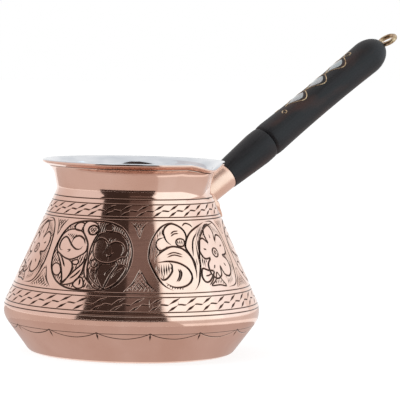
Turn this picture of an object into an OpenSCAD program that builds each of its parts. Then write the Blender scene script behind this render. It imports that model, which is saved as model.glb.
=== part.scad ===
// Copper cezve: a spun and engraved coffee pot with a riveted handle socket,
// a turned wooden grip with pearl and wire inlay, and a screw eye to hang it by.
// The pot stands on z = 0 with its axis on Z, and the handle leans out over +X.

/* [Pot] */
// Height of the pot at the rim
pot_h = 88; // [70:1:110]
// Diameter across the outer edge of the rim
rim_d = 83.6; // [74:0.2:94]
// Diameter of the corner that the lip is turned out from
lip_d = 73.6; // [68:0.2:78]
// Rise of the lip above level
lip_rise = 27; // [15:1:40]
// Diameter of the narrowest part of the neck
neck_d = 69.8; // [58:0.2:76]
// Height of the neck above the table
neck_z = 74.8; // [60:0.5:80]
// Diameter of the belly, measured to the corner before it is rounded
belly_d = 120; // [98:0.2:134]
// Height of the belly's corner above the table
belly_z = 18.7; // [14:0.1:26]
// Diameter of the foot, measured to its corner
foot_d = 92.2; // [78:0.2:104]
// Thickness of the copper sheet
wall = 1.5; // [1:0.1:2]
// Thickness of the wiped tin lining
tin_t = 0.3; // [0.2:0.05:0.5]

/* [Spout] */
// Angle of the pouring lip round the pot, from the handle
spout_turn = -71; // [-100:1:-60]
// Width of the pouring lip
spout_w = 20; // [13:0.2:24]
// How far the pouring lip stands past the rim
spout_reach = 1.8; // [1:0.1:3]
// How far the pouring lip dips below the rim
spout_dip = 2.4; // [1.5:0.1:3]

/* [Handle socket] */
// Lean of the handle above level
handle_tilt = 33.3; // [26:0.2:40]
// Distance of the socket's mouth from the pot's axis
mouth_x = 53; // [49:0.2:58]
// Height of the centre of the socket's mouth
mouth_z = 79.8; // [78:0.1:84]
// Diameter of the socket at its mouth
socket_d = 13; // [11.8:0.1:14]
// Taper of the socket's diameter, per millimetre towards the pot
socket_taper = 0.03; // [0:0.01:0.06]
// Wall of the socket tube
socket_wall = 1.4; // [1:0.1:1.8]
// Thickness of the saddle plate
plate_t = 1.2; // [0.8:0.1:1.6]
// Width of the saddle plate, wing to wing
plate_w = 42; // [34:1:46]
// Diameter of the rivets
rivet_d = 3; // [2.4:0.1:3.6]
// Diameter of the nail that pins the grip in the socket
nail_d = 1.6; // [1.2:0.1:2]

/* [Grip] */
// Length of the wood past the socket's mouth
grip_l = 114.4; // [100:0.2:130]
// Diameter of the collar where it meets the socket
collar_foot_d = 13.4; // [12.4:0.1:14.6]
// Diameter of the collar at its widest
collar_d = 16.3; // [15.2:0.1:17.4]
// Length of the collar, to the turned groove
collar_l = 28.6; // [24:0.2:34]
// Diameter at the bottom of the groove
groove_d = 13.6; // [12.4:0.1:14.4]
// Diameter of the grip just past the groove
grip_d = 16.4; // [15.2:0.1:17]
// Diameter of the grip at its waist
waist_d = 15.3; // [14:0.1:16]
// Diameter of the grip at its swollen end
swell_d = 16.4; // [15:0.1:18]
// Length of the rounded end
dome_l = 12; // [9:0.2:15]
// Length of the tenon inside the socket
tenon_l = 10.5; // [8:0.5:12]

/* [Inlay] */
// Spacing of the leaves
leaf_pitch = 14.4; // [13:0.1:15.5]
// Distance of the first leaf from the socket's mouth
leaf_start = 54.6; // [51:0.1:58]
// Length of a leaf
leaf_l = 11.2; // [8.4:0.1:12.4]
// Width of a leaf
leaf_w = 6.2; // [4.4:0.1:6.8]
// Thickness of a leaf at its middle
leaf_t = 1.3; // [0.9:0.1:1.6]
// Width of the brass wire
wire_w = 0.6; // [0.4:0.05:0.8]
// Depth of the brass wire in the wood
wire_depth = 0.8; // [0.6:0.05:1.2]
// Width of a wire loop round a leaf, to the middle of the wire
loop_w = 9.4; // [8.4:0.1:10.4]

/* [Screw eye] */
// Diameter of the eye's wire
eye_wire = 2.3; // [1.8:0.1:2.8]
// Outer diameter of the eye
eye_d = 10.4; // [8.6:0.1:12]
// Length of the threaded shank in the wood
shank_l = 16; // [10:0.5:22]

/* [Hidden] */
$fn = 96;

fit_gap = 0.02;          // clearance of a pressed or wiped fit, on the radius
tenon_gap = 0.06;        // clearance of the glued tenon, on the radius
foot_round = 5;          // outside radius of the foot's corner
belly_round = 10;        // outside radius of the belly's corner
neck_round = 4;          // radius in the hollow between shoulder and neck
lip_round = 7;           // radius in the hollow under the lip
arc_steps = 8;           // straight steps in each rounded corner
over = 8;                // how far a cutting solid runs on past what it cuts
// Where the outer skin ends at the lip, so that the half round past it reaches rim_d and pot_h
lip_edge = [rim_d / 2 - wall / 2 * (1 - sin(lip_rise)), pot_h - wall / 2 * (1 + cos(lip_rise))];

// Outer corners of the sheet from the middle of the foot to the lip, each with its rounding.
// The sign is 1 where the corner stands out and -1 where it is a hollow.
corners = [
    [0, 0, 0, 0],
    [foot_d / 2, 0, foot_round, 1],
    [belly_d / 2, belly_z, belly_round, 1],
    [neck_d / 2, neck_z, neck_round, -1],
    [lip_d / 2, lip_edge[1] - (lip_edge[0] - lip_d / 2) * tan(lip_rise), lip_round, -1],
    [lip_edge[0], lip_edge[1], 0, 0]];

function point(i) = [corners[i][0], corners[i][1]];
function unit(v) = v / norm(v);
// Normal of the sheet's straight run from corner i, pointing into the pot
function inward(i) = let (v = unit(point(i + 1) - point(i))) [-v[1], v[0]];
// Centre of the rounding at corner i
function centre(i) =
    let (a = unit(point(i - 1) - point(i)), b = unit(point(i + 1) - point(i)),
         half = acos(a * b) / 2)
    point(i) + unit(a + b) * corners[i][2] / sin(half);
// Points of the rounding at corner i, on the skin that lies depth inside the outer one
function rounding(i, depth) =
    let (s = corners[i][3], c = centre(i), r = corners[i][2] - s * depth,
         from = -s * inward(i - 1), to = -s * inward(i),
         a0 = atan2(from[1], from[0]), turn = atan2(to[1], to[0]) - a0,
         sweep = turn > 180 ? turn - 360 : turn < -180 ? turn + 360 : turn)
    [for (k = [0:arc_steps]) let (a = a0 + sweep * k / arc_steps) c + r * [cos(a), sin(a)]];
// The whole skin at that depth, from the pot's axis to the lip's edge
function skin(depth) = concat(
    [[0, depth]],
    [for (i = [1:4]) each rounding(i, depth)],
    [point(5) + depth * inward(4)]);
function reversed(list) = [for (i = [len(list) - 1:-1:0]) list[i]];
// Half round that closes the sheet's edge at the lip
function lip_nose() =
    let (n = inward(4), mid = point(5) + n * wall / 2, a0 = atan2(-n[1], -n[0]))
    [for (k = [1:arc_steps - 1]) let (a = a0 + 180 * k / arc_steps)
        mid + wall / 2 * [cos(a), sin(a)]];

// Everything inside the skin at that depth, up to the level of its lip
module filled(depth) {
    s = skin(depth);
    rotate_extrude() polygon(concat(s, [[0, s[len(s) - 1][1]]]));
}

// --- pouring lip: a beak pressed out of the neck, and a scoop that dips its edge ---
beak_r = spout_w / 2;            // radius of the beak at the rim's level
beak_foot_r = 2.6;               // radius of the beak at its foot
beak_foot_z = neck_z - 1.5;      // the beak starts just under the neck
beak_run = pot_h - beak_foot_z;
beak_lean = atan((rim_d / 2 + spout_reach - beak_r - neck_d / 2 + beak_foot_r) / beak_run);
beak_l = beak_run / cos(beak_lean);
beak_over = 1.5;                 // the beak runs on past the rim by this share before it is trimmed
scoop_half = beak_r + 1;         // half width of the dip in the rim
scoop_r = (pow(scoop_half, 2) + pow(spout_dip, 2)) / (2 * spout_dip);
beak_trim = 0.05;                // the beak ends this far under the middle of the rim's edge

module beak(depth) {
    rotate([0, 0, spout_turn]) translate([neck_d / 2 - beak_foot_r, 0, beak_foot_z])
        rotate([0, beak_lean, 0]) cylinder(h = beak_l * beak_over, r1 = beak_foot_r - depth,
            r2 = beak_foot_r + (beak_r - beak_foot_r) * beak_over - depth);
}

module scoop() {
    rotate([0, 0, spout_turn]) translate([neck_d / 2 - over, 0, pot_h + scoop_r - spout_dip])
        rotate([0, 90, 0]) cylinder(h = (rim_d - neck_d) / 2 + spout_reach + 2 * over, r = scoop_r);
}

// Room above the given level, which trims the beak
module above(level) {
    translate([0, 0, level]) cylinder(h = beak_l, r = rim_d);
}

// The hollow of the pot at a depth inside its outer skin
module hollow(depth) {
    filled(depth);
    beak(depth);
}

// --- rivets through saddle, wall and lining ---
shoulder_lean = atan2(belly_d / 2 - neck_d / 2, neck_z - belly_z);
rivet_low_z = neck_z - 16.5;     // height of the rivet in the saddle's lobe
rivet_wing_z = neck_z - 7.5;     // height of the two rivets in its wings
wing_r = 5.5;                    // rounding of the wings and the lobe
wing_y = plate_w / 2 - wing_r;   // middle of the wings' rounding
head_out_r = rivet_d * 0.92;
head_in_r = rivet_d * 0.86;
head_h = rivet_d * 0.4;
function shoulder_r(z) = belly_d / 2 - (z - belly_z) * tan(shoulder_lean);
wing_turn = asin(wing_y / shoulder_r(rivet_wing_z));
rivet_seats = [[-wing_turn, rivet_wing_z], [wing_turn, rivet_wing_z], [0, rivet_low_z]];

// Places its children on the shoulder's outer skin, with +Z along the outward normal
module on_shoulder(turn, z) {
    rotate([0, 0, turn]) translate([shoulder_r(z), 0, z]) rotate([0, 90 - shoulder_lean, 0]) children();
}

module rivet_holes(r) {
    for (s = rivet_seats) on_shoulder(s[0], s[1])
        translate([0, 0, -wall - tin_t - over]) cylinder(h = 2 * over, r = r);
}

// A low dome of radius r and height h, standing on z = 0
module dome(r, h) {
    ball = (r * r + h * h) / (2 * h);
    intersection() {
        translate([0, 0, h - ball]) sphere(r = ball);
        cylinder(h = h, r = r);
    }
}

module pot_body() {
    color("#c98a6b") difference() {
        union() {
            rotate_extrude() polygon(concat(skin(0), lip_nose(), reversed(skin(wall))));
            difference() {
                beak(0);
                filled(wall / 2);
                above(pot_h - wall / 2 - 0.05);
            }
        }
        beak(wall);
        scoop();
        rivet_holes(rivet_d / 2 + fit_gap);
    }
}

module tin_lining() {
    color("#c9cbd0") difference() {
        hollow(wall);
        hollow(wall + tin_t);
        scoop();
        above(pot_h - tin_t);
        rivet_holes(rivet_d / 2 + fit_gap);
    }
}

// --- handle: its own frame has +Z along the grip from the socket's mouth, and +X on its top ---
module on_handle() {
    translate([mouth_x, 0, mouth_z]) rotate([0, 90 - handle_tilt, 0]) rotate([0, 0, 180]) children();
}

tube_l = 26;             // enough tube to reach into the saddle before it is coped
bore_r = socket_d / 2 - socket_wall;

pad_drop = 1;            // the pad behind the tube is centred this far under the neck
pad_room = 2.6;          // the pad stands this far past the tube all round

// Outline of the saddle, seen along X: two wings, a lobe below and a pad behind the tube
module saddle_outline() {
    for (side = [-1, 1]) translate([side * wing_y, rivet_wing_z]) circle(r = wing_r);
    translate([-wing_y, rivet_wing_z - wing_r]) square([2 * wing_y, 2 * wing_r]);
    translate([0, rivet_low_z]) circle(r = wing_r);
    translate([-wing_r, rivet_low_z]) square([2 * wing_r, rivet_wing_z - rivet_low_z]);
    translate([0, neck_z - pad_drop]) circle(r = socket_d / 2 + pad_room);
}

module saddle_plate() {
    color("#c07f60") difference() {
        intersection() {
            filled(-plate_t);
            rotate([90, 0, 90]) linear_extrude(height = rim_d) saddle_outline();
        }
        filled(0);
        rivet_holes(rivet_d / 2 + fit_gap);
    }
}

module socket_tube() {
    color("#d59a7b") difference() {
        on_handle() difference() {
            translate([0, 0, -tube_l])
                cylinder(h = tube_l, d1 = socket_d - socket_taper * tube_l, d2 = socket_d);
            translate([0, 0, -tube_l - over]) cylinder(h = tube_l + 2 * over, r = bore_r);
            nail_room(nail_d / 2 + fit_gap);
        }
        filled(-plate_t);
    }
}

seat_sag = 0.12;         // the inner heads stand off the curved lining by this much

// Half outline of a low dome of radius r and height h, from its rim to its top
function dome_arc(r, h) =
    let (ball = (r * r + h * h) / (2 * h), a0 = asin(r / ball))
    [for (k = [0:6]) let (a = a0 * (1 - k / 6)) [ball * sin(a), h - ball + ball * cos(a)]];

module saddle_rivets() {
    inside = -wall - tin_t - seat_sag;
    color("#b87454") for (s = rivet_seats) on_shoulder(s[0], s[1]) rotate_extrude() polygon(concat(
        [for (p = reversed(dome_arc(head_in_r, head_h))) [p[0], inside - p[1]]],
        [[rivet_d / 2, inside], [rivet_d / 2, plate_t]],
        [for (p = dome_arc(head_out_r, head_h)) [p[0], plate_t + p[1]]]));
}

// --- nail: driven in from the side that faces away from the spout ---
nail_z = -5;             // place along the socket, back from its mouth
nail_reach = socket_d / 2 + 0.1;
nail_l = 6.4;
nail_point = 1.2;        // length of its point
nail_tip_r = 0.2;        // radius of the point's blunt end
nail_sunk = 0.3;         // depth of its head's underside below the reach
nail_head_h = 0.9;
nail_end_gap = 0.4;      // room past the point

// Places its children beside the socket, with +Z pointing into it
module at_nail() {
    translate([0, -nail_reach, nail_z]) rotate([-90, 0, 0]) children();
}

module nail_room(r) {
    at_nail() translate([0, 0, -over]) cylinder(h = over + nail_l + nail_end_gap, r = r);
}

module socket_nail() {
    color("#b9a06a") difference() {
        on_handle() at_nail() {
            cylinder(h = nail_l - nail_point, r = nail_d / 2);
            translate([0, 0, nail_l - nail_point])
                cylinder(h = nail_point, r1 = nail_d / 2, r2 = nail_tip_r);
            translate([0, 0, nail_sunk]) rotate([180, 0, 0]) dome(nail_d * 0.9, nail_head_h);
        }
        difference() {
            on_handle() translate([0, 0, -tube_l])
                cylinder(h = tube_l, d1 = socket_d - socket_taper * tube_l, d2 = socket_d);
            on_handle() nail_room(nail_d / 2 + fit_gap);
        }
    }
}

// --- grip: turned on its own axis ---
groove_half = 0.8;       // half width of the turned groove
bead_l = 5.4;            // length over which the collar rounds down to the groove
shoulder_l = 3.6;        // length over which the grip rises from the groove
swell_z = grip_l - dome_l;
land_r = (collar_d + 2 * grip_d) / 6 - 0.3;    // radius at each side of the groove
function eased(t) = sin(90 * t);

// Half outline of the wood past the mouth, drawn in by depth
function grip_outline(depth) = [
    [collar_foot_d / 2 - depth, 0],
    for (k = [0:6]) let (t = k / 6)
        [land_r + (collar_d / 2 - land_r) * cos(90 * t) - depth,
         collar_l - groove_half - bead_l + bead_l * eased(t)],
    [groove_d / 2 - depth, collar_l],
    for (k = [0:5]) let (t = k / 5)
        [land_r + (grip_d / 2 - land_r) * eased(t) - depth,
         collar_l + groove_half + shoulder_l * (1 - cos(90 * t))],
    [waist_d / 2 - depth, (collar_l + swell_z) / 2],
    for (k = [0:11]) let (t = k / 12)
        [swell_d / 2 * cos(90 * t) - depth * cos(90 * t), swell_z + (dome_l - depth) * eased(t)],
    [0, grip_l - depth]];

module grip_form(depth) {
    rotate_extrude() polygon(concat([[0, 0]], grip_outline(depth)));
}

// --- inlay, drawn on the grip's top: x runs along the grip and y across it ---
leaf_count = 3;          // pearl leaves, each a node of its own
leaf_lean = 1.5;         // a leaf is fullest past its middle by this power
leaf_steps = 16;
function leaf_y(u, width) = width / 2 * sin(180 * pow(u, leaf_lean));
// A leaf from its sharp point, at -x, to its blunter one
module leaf_2d(length, width) {
    polygon(concat(
        [for (k = [0:leaf_steps]) let (u = k / leaf_steps) [(u - 0.5) * length, leaf_y(u, width)]],
        [for (k = [leaf_steps - 1:-1:1]) let (u = k / leaf_steps) [(u - 0.5) * length, -leaf_y(u, width)]]));
}

// Extrudes a 2D shape straight out through the grip's top, from the given height
module through_top(from) {
    rotate([0, -90, 0]) translate([0, 0, -collar_d]) linear_extrude(height = collar_d - from) children();
}

module leaf_solid(i, gap) {
    intersection() {
        grip_form(0);
        through_top(waist_d / 2 - leaf_t - gap) translate([leaf_start + i * leaf_pitch, 0])
            leaf_2d(leaf_l + 2 * gap, leaf_w + 2 * gap);
    }
}

module pearl_leaf(i) {
    color("#b9c0c0") on_handle() leaf_solid(i, 0);
}

curl_r = 1.1;            // middle radius of the curl at the wire's start
curl_x = 3.5;            // the curl's middle, back from the first loop
curl_y = 2.7;            // the curl's middle, off the line of the leaves
hook_r = 2.2;            // middle radius of the hook at its end
hook_lap = 0.4;          // the hook starts this far before the last loop's end
wire_room = 8;           // more than the wire's reach to either side
half_gap = 0.01;         // each side's wire ends this far from the line of the leaves
shank_gap = 0.5;         // room in the wood past the screw's point
chain_start = leaf_start - leaf_pitch / 2;
chain_end = chain_start + leaf_count * leaf_pitch;

module ring_2d(r) {
    difference() {
        circle(r = r + wire_w / 2);
        circle(r = r - wire_w / 2);
    }
}

loop_lean = 1.6;         // a loop is fullest past its middle by this power
t_step = 0.02;           // step along a loop that its direction is taken over
// Half width of a loop at t, which runs from 0 to 1 along it
function loop_y(t) = loop_w / 2 * sin(180 * pow(t, loop_lean));
function loop_point(t) = [t * leaf_pitch, loop_y(t)];
function loop_normal(t) =
    let (v = unit(loop_point(min(t + t_step, 1)) - loop_point(max(t - t_step, 0)))) [-v[1], v[0]];
// One loop's wire, as a strip of even width
module loop_2d() {
    steps = 12;
    polygon(concat(
        [for (k = [0:steps]) loop_point(k / steps) + wire_w / 2 * loop_normal(k / steps)],
        [for (k = [steps:-1:0]) loop_point(k / steps) - wire_w / 2 * loop_normal(k / steps)]));
}

// The wire on the side of positive y: a curl, the loops beside the leaves, and a hook
module wire_2d() {
    for (i = [0:leaf_count - 1]) translate([chain_start + i * leaf_pitch, 0]) loop_2d();
    translate([chain_start - curl_x, curl_y]) ring_2d(curl_r);
    translate([chain_end + hook_r - hook_lap, 0]) intersection() {
        ring_2d(hook_r);
        translate([-hook_r - wire_w, 0]) square([2 * (hook_r + wire_w), hook_r + wire_w]);
    }
}

// One side's wires; side is 1 for the side that faces the spout, -1 for the far side
module wire_solid(side) {
    intersection() {
        difference() {
            grip_form(0);
            grip_form(wire_depth);
            eye_room();
        }
        through_top(0) intersection() {
            mirror([0, side > 0 ? 0 : 1]) wire_2d();
            translate([0, side > 0 ? half_gap : -wire_room - half_gap]) square([grip_l, wire_room]);
        }
    }
}

module wire_inlay(side) {
    color("#b08d57") on_handle() wire_solid(side);
}

module wood_grip() {
    color("#3a2b26") on_handle() difference() {
        union() {
            grip_form(0);
            translate([0, 0, -tenon_l]) cylinder(h = tenon_l + over, r = bore_r - tenon_gap);
        }
        for (i = [0:leaf_count - 1]) leaf_solid(i, fit_gap);
        for (side = [-1, 1]) wire_solid(side);
        eye_room();
        nail_room(nail_d / 2 + fit_gap);
    }
}

// --- screw eye: a ring that lies flat along the grip, on a pointed shank ---
eye_r = eye_d / 2 - eye_wire / 2;
eye_z = grip_l + eye_d / 2 - eye_wire * 0.4;
point_l = 3;

// The eye's ring, of the given radius of wire
module eye_ring(r) {
    translate([0, 0, eye_z]) rotate([0, 90, 0]) rotate_extrude() translate([eye_r, 0]) circle(r = r);
}

// What the screw eye takes out of the wood and the wires: its hole and its seat
module eye_room() {
    translate([0, 0, grip_l - shank_l - shank_gap])
        cylinder(h = shank_l + shank_gap + over, r = eye_wire / 2 + fit_gap);
    eye_ring(eye_wire / 2 + fit_gap);
}

module screw_eye() {
    color("#a8905e") on_handle() {
        eye_ring(eye_wire / 2);
        translate([0, 0, grip_l - shank_l + point_l])
            cylinder(h = eye_z - eye_r - grip_l + shank_l - point_l, d = eye_wire);
        translate([0, 0, grip_l - shank_l]) cylinder(h = point_l, d1 = 0.4, d2 = eye_wire);
    }
}

pot_body();
tin_lining();
saddle_plate();
socket_tube();
saddle_rivets();
socket_nail();
wood_grip();
pearl_leaf(0);  // pearl_leaf_1
pearl_leaf(1);  // pearl_leaf_2
pearl_leaf(2);  // pearl_leaf_3
wire_inlay(1);  // wire_near_side
wire_inlay(-1);  // wire_far_side
screw_eye();
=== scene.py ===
"""Copper cezve: an engraved pot, a riveted socket and a turned grip with pearl and wire inlay.

Lengths inside the classes are millimetres, and meshes are written in metres. The pot's axis is Z
and the handle leans out over +X, as in the frame.
"""
from __future__ import annotations

import logging
import math
from dataclasses import dataclass, field
from enum import Enum
from typing import Callable, Sequence

import bmesh
import bpy
import numpy as np
from mathutils import Matrix, Vector
from mathutils.geometry import delaunay_2d_cdt


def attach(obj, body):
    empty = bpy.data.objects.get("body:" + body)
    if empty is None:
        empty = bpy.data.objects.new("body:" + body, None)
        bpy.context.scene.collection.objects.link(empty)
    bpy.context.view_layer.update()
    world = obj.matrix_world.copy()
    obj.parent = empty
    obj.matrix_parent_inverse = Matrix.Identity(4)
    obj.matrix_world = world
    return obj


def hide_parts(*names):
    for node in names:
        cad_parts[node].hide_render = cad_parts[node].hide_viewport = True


MM = 0.001
ROOT = "root"
log = logging.getLogger("cezve")

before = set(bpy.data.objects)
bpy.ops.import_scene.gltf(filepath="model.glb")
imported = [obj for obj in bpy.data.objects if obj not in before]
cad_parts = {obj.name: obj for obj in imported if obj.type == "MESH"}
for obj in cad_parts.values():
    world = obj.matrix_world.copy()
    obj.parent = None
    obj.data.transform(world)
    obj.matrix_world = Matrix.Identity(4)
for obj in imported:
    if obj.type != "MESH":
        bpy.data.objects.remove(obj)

Point = tuple[float, float]
Placer = Callable[[Sequence[Point]], list[Point]]


# ---------------------------------------------------------------- finishes

def linear(code: str) -> tuple[float, float, float, float]:
    """Turns an sRGB hex colour into linear light.

    Args:
        code: Six hex digits with a leading hash.

    Returns:
        Red, green, blue and an alpha of 1.
    """
    parts = [int(code[i:i + 2], 16) / 255 for i in (1, 3, 5)]
    curved = [c / 12.92 if c <= 0.04045 else ((c + 0.055) / 1.055) ** 2.4 for c in parts]
    return (*curved, 1.0)


def add_node(tree: bpy.types.NodeTree, kind: str, feeds: dict | None = None, **settings) -> bpy.types.Node:
    """Adds one node with its settings, values and links.

    Args:
        tree: The material's or world's node tree.
        kind: The node's type name.
        feeds: Input name or index to a socket to link, or to a plain value.
        settings: Properties of the node itself.

    Returns:
        The new node.
    """
    node = tree.nodes.new(kind)
    for key, value in settings.items():
        setattr(node, key, value)
    for key, value in (feeds or {}).items():
        if isinstance(value, bpy.types.NodeSocket):
            tree.links.new(value, node.inputs[key])
        else:
            node.inputs[key].default_value = value
    return node


def fresh_tree(owner: bpy.types.Material | bpy.types.World) -> bpy.types.NodeTree:
    """Empties the node tree of a material or world, ready for its own nodes.

    Args:
        owner: The material or world.

    Returns:
        The empty tree.
    """
    owner.use_nodes = True
    owner.node_tree.nodes.clear()
    return owner.node_tree


def ramp(tree: bpy.types.NodeTree, factor: bpy.types.NodeSocket,
         stops: Sequence[tuple[float, str]]) -> bpy.types.NodeSocket:
    """Adds a colour ramp.

    Args:
        tree: The node tree.
        factor: What the ramp reads.
        stops: Place and hex colour of each stop.

    Returns:
        The ramp's colour socket.
    """
    node = add_node(tree, "ShaderNodeValToRGB", {"Fac": factor})
    marks = node.color_ramp.elements
    while len(marks) < len(stops):
        marks.new(0.5)
    for mark, (place, code) in zip(marks, stops):
        mark.position = place
        mark.color = linear(code)
    return node.outputs["Color"]


def mixed(tree: bpy.types.NodeTree, factor: bpy.types.NodeSocket | float,
          first: bpy.types.NodeSocket | Sequence[float], second: bpy.types.NodeSocket | Sequence[float],
          blend: str = "MIX") -> bpy.types.NodeSocket:
    """Mixes two colours.

    Args:
        tree: The node tree.
        factor: A socket or a number.
        first: Colour at 0, a socket or linear colour.
        second: Colour at 1, a socket or linear colour.
        blend: The mix node's blend type.

    Returns:
        The mixed colour socket.
    """
    node = add_node(tree, "ShaderNodeMix", {"Factor": factor}, data_type="RGBA", blend_type=blend)
    for index, value in ((6, first), (7, second)):
        if isinstance(value, bpy.types.NodeSocket):
            tree.links.new(value, node.inputs[index])
        else:
            node.inputs[index].default_value = value
    return node.outputs[2]


def remapped(tree: bpy.types.NodeTree, value: bpy.types.NodeSocket, low: float, high: float,
             to_low: float, to_high: float) -> bpy.types.NodeSocket:
    """Maps a value's range low..high onto to_low..to_high, held at the ends."""
    feeds = {"Value": value, "From Min": low, "From Max": high, "To Min": to_low, "To Max": to_high}
    return add_node(tree, "ShaderNodeMapRange", feeds).outputs["Result"]


class Finish:
    """A real finish that makes one material and keeps it."""

    name = "finish"

    def material(self) -> bpy.types.Material:
        """Returns the finish's material, made on first use.

        Returns:
            The material.
        """
        made = bpy.data.materials.get(self.name)
        if made is None:
            made = bpy.data.materials.new(self.name)
            tree = fresh_tree(made)
            shader = add_node(tree, "ShaderNodeBsdfPrincipled")
            add_node(tree, "ShaderNodeOutputMaterial", {"Surface": shader.outputs["BSDF"]})
            self.dress(tree, shader)
        return made

    def place(self, tree: bpy.types.NodeTree, turn: Sequence[float] = (0, 0, 0),
              scale: Sequence[float] = (1, 1, 1)) -> bpy.types.NodeSocket:
        """Object coordinates, turned and scaled.

        Args:
            tree: The node tree.
            turn: Rotation in radians.
            scale: Scale of each axis after the turn.

        Returns:
            The vector socket.
        """
        where = add_node(tree, "ShaderNodeTexCoord").outputs["Object"]
        turned = add_node(tree, "ShaderNodeMapping", {"Vector": where, "Rotation": turn}).outputs["Vector"]
        return add_node(tree, "ShaderNodeMapping", {"Vector": turned, "Scale": scale}).outputs["Vector"]

    def bumped(self, tree: bpy.types.NodeTree, shader: bpy.types.Node,
               height: bpy.types.NodeSocket, depth_mm: float) -> None:
        """Adds a bump of the given depth to the shader.

        Args:
            tree: The node tree.
            shader: The shader that gets the bump.
            height: What the bump reads.
            depth_mm: Its depth in millimetres.
        """
        feeds = {"Height": height, "Distance": depth_mm * MM, "Strength": 1.0}
        bump = add_node(tree, "ShaderNodeBump", feeds)
        tree.links.new(bump.outputs["Normal"], shader.inputs["Normal"])

    def dress(self, tree: bpy.types.NodeTree, shader: bpy.types.Node) -> None:
        """Sets the shader up. Each finish has its own.

        Args:
            tree: The material's node tree.
            shader: Its principled shader.
        """
        raise NotImplementedError


@dataclass(frozen=True)
class SpunCopper(Finish):
    """Copper sheet, spun and polished: faint turning marks, and brown tarnish in the cuts."""

    name: str = "spun_polished_copper"
    bright: str = "#F1CFBF"
    warm: str = "#E6C0AE"
    tarnish: str = "#2A140C"
    roughness: float = 0.09
    mark_mm: float = 0.8
    mark_deep: float = 0.0012
    patch_scale: float = 45.0
    cuts: bool = True
    cut_range: tuple[float, float] = (0.04, 0.42)
    cut_dark: float = 0.93
    cut_dull: float = 0.18

    def dress(self, tree: bpy.types.NodeTree, shader: bpy.types.Node) -> None:
        """Colours the sheet by soft patches, and darkens the cuts where it has them.

        Args:
            tree: The material's node tree.
            shader: Its principled shader.
        """
        shader.inputs["Metallic"].default_value = 1.0
        shader.inputs["Roughness"].default_value = self.roughness
        where = self.place(tree)
        patches = add_node(tree, "ShaderNodeTexNoise",
                           {"Vector": where, "Scale": self.patch_scale, "Detail": 4.0})
        colour = ramp(tree, patches.outputs["Fac"], [(0.35, self.warm), (0.65, self.bright)])
        rings = self.place(tree, scale=(0.06, 0.06, 1.0))
        marks = add_node(tree, "ShaderNodeTexNoise",
                         {"Vector": rings, "Scale": 1 / (self.mark_mm * MM), "Detail": 3.0})
        rough = remapped(tree, marks.outputs["Fac"], 0.3, 0.7, self.roughness - 0.02, self.roughness + 0.05)
        self.bumped(tree, shader, marks.outputs["Fac"], self.mark_deep)
        if self.cuts:
            cut = add_node(tree, "ShaderNodeAttribute", attribute_name="cut_depth")
            dark = remapped(tree, cut.outputs["Fac"], *self.cut_range, 0.0, self.cut_dark)
            colour = mixed(tree, dark, colour, linear(self.tarnish))
            dull = remapped(tree, cut.outputs["Fac"], *self.cut_range, 0.0, self.cut_dull)
            rough = add_node(tree, "ShaderNodeMath", {0: rough, 1: dull}, operation="ADD").outputs[0]
        tree.links.new(rough, shader.inputs["Roughness"])
        tree.links.new(colour, shader.inputs["Base Color"])


@dataclass(frozen=True)
class WipedTin(Finish):
    """Pure tin wiped on hot: pale grey with soft streaks, bright at the lip and duller inside."""

    name: str = "wiped_tin"
    pale: str = "#DCDEE2"
    dull: str = "#C6CAD0"
    roughness: float = 0.08
    inside: float = 0.3
    bright_from: float = 0.07
    bright_over: float = 0.01
    streak_scale: float = 90.0
    streak_deep: float = 0.003

    def dress(self, tree: bpy.types.NodeTree, shader: bpy.types.Node) -> None:
        """Streaks the tin round the pot, as the wiping cloth does, and smooths it towards the lip.

        Args:
            tree: The material's node tree.
            shader: Its principled shader.
        """
        shader.inputs["Metallic"].default_value = 1.0
        streaks = add_node(tree, "ShaderNodeTexNoise",
                           {"Vector": self.place(tree, scale=(1, 1, 4)), "Scale": self.streak_scale,
                            "Detail": 5.0})
        factor = streaks.outputs["Fac"]
        tree.links.new(ramp(tree, factor, [(0.3, self.dull), (0.62, self.pale)]),
                       shader.inputs["Base Color"])
        height = add_node(tree, "ShaderNodeSeparateXYZ", {"Vector": self.place(tree)}).outputs["Z"]
        rough = remapped(tree, height, self.bright_from, self.bright_from + self.bright_over,
                         self.inside, self.roughness)
        tree.links.new(rough, shader.inputs["Roughness"])
        self.bumped(tree, shader, factor, self.streak_deep)


@dataclass(frozen=True)
class StainedWood(Finish):
    """Close-grained hardwood, stained nearly black and waxed: red-brown where it has worn."""

    name: str = "stained_waxed_hardwood"
    stain: str = "#0E0D10"
    worn: str = "#3A2019"
    grey: str = "#201E22"
    lean: float = 0.0
    grain_mm: float = 0.9
    grain_deep: float = 0.06
    patch_scale: float = 110.0
    wear: float = 0.75
    sheen: float = 0.32

    def dress(self, tree: bpy.types.NodeTree, shader: bpy.types.Node) -> None:
        """Runs the grain along the grip and leaves a wax sheen.

        Args:
            tree: The material's node tree.
            shader: Its principled shader.
        """
        along = self.place(tree, turn=(0, self.lean, 0), scale=(0.07, 1, 1))
        grain = add_node(tree, "ShaderNodeTexNoise",
                         {"Vector": along, "Scale": 1 / (self.grain_mm * MM), "Detail": 5.0,
                          "Roughness": 0.65})
        broad = add_node(tree, "ShaderNodeTexNoise",
                         {"Vector": self.place(tree, turn=(0, self.lean, 0), scale=(0.35, 1, 1)),
                          "Scale": self.patch_scale, "Detail": 3.0})
        base = ramp(tree, grain.outputs["Fac"], [(0.35, self.stain), (0.7, self.grey)])
        patches = remapped(tree, broad.outputs["Fac"], 0.5, 0.72, 0.0, self.wear)
        tree.links.new(mixed(tree, patches, base, linear(self.worn)), shader.inputs["Base Color"])
        rough = remapped(tree, grain.outputs["Fac"], 0.3, 0.7, 0.42, 0.58)
        tree.links.new(rough, shader.inputs["Roughness"])
        shader.inputs["Specular IOR Level"].default_value = self.sheen
        self.bumped(tree, shader, grain.outputs["Fac"], self.grain_deep)


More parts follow.
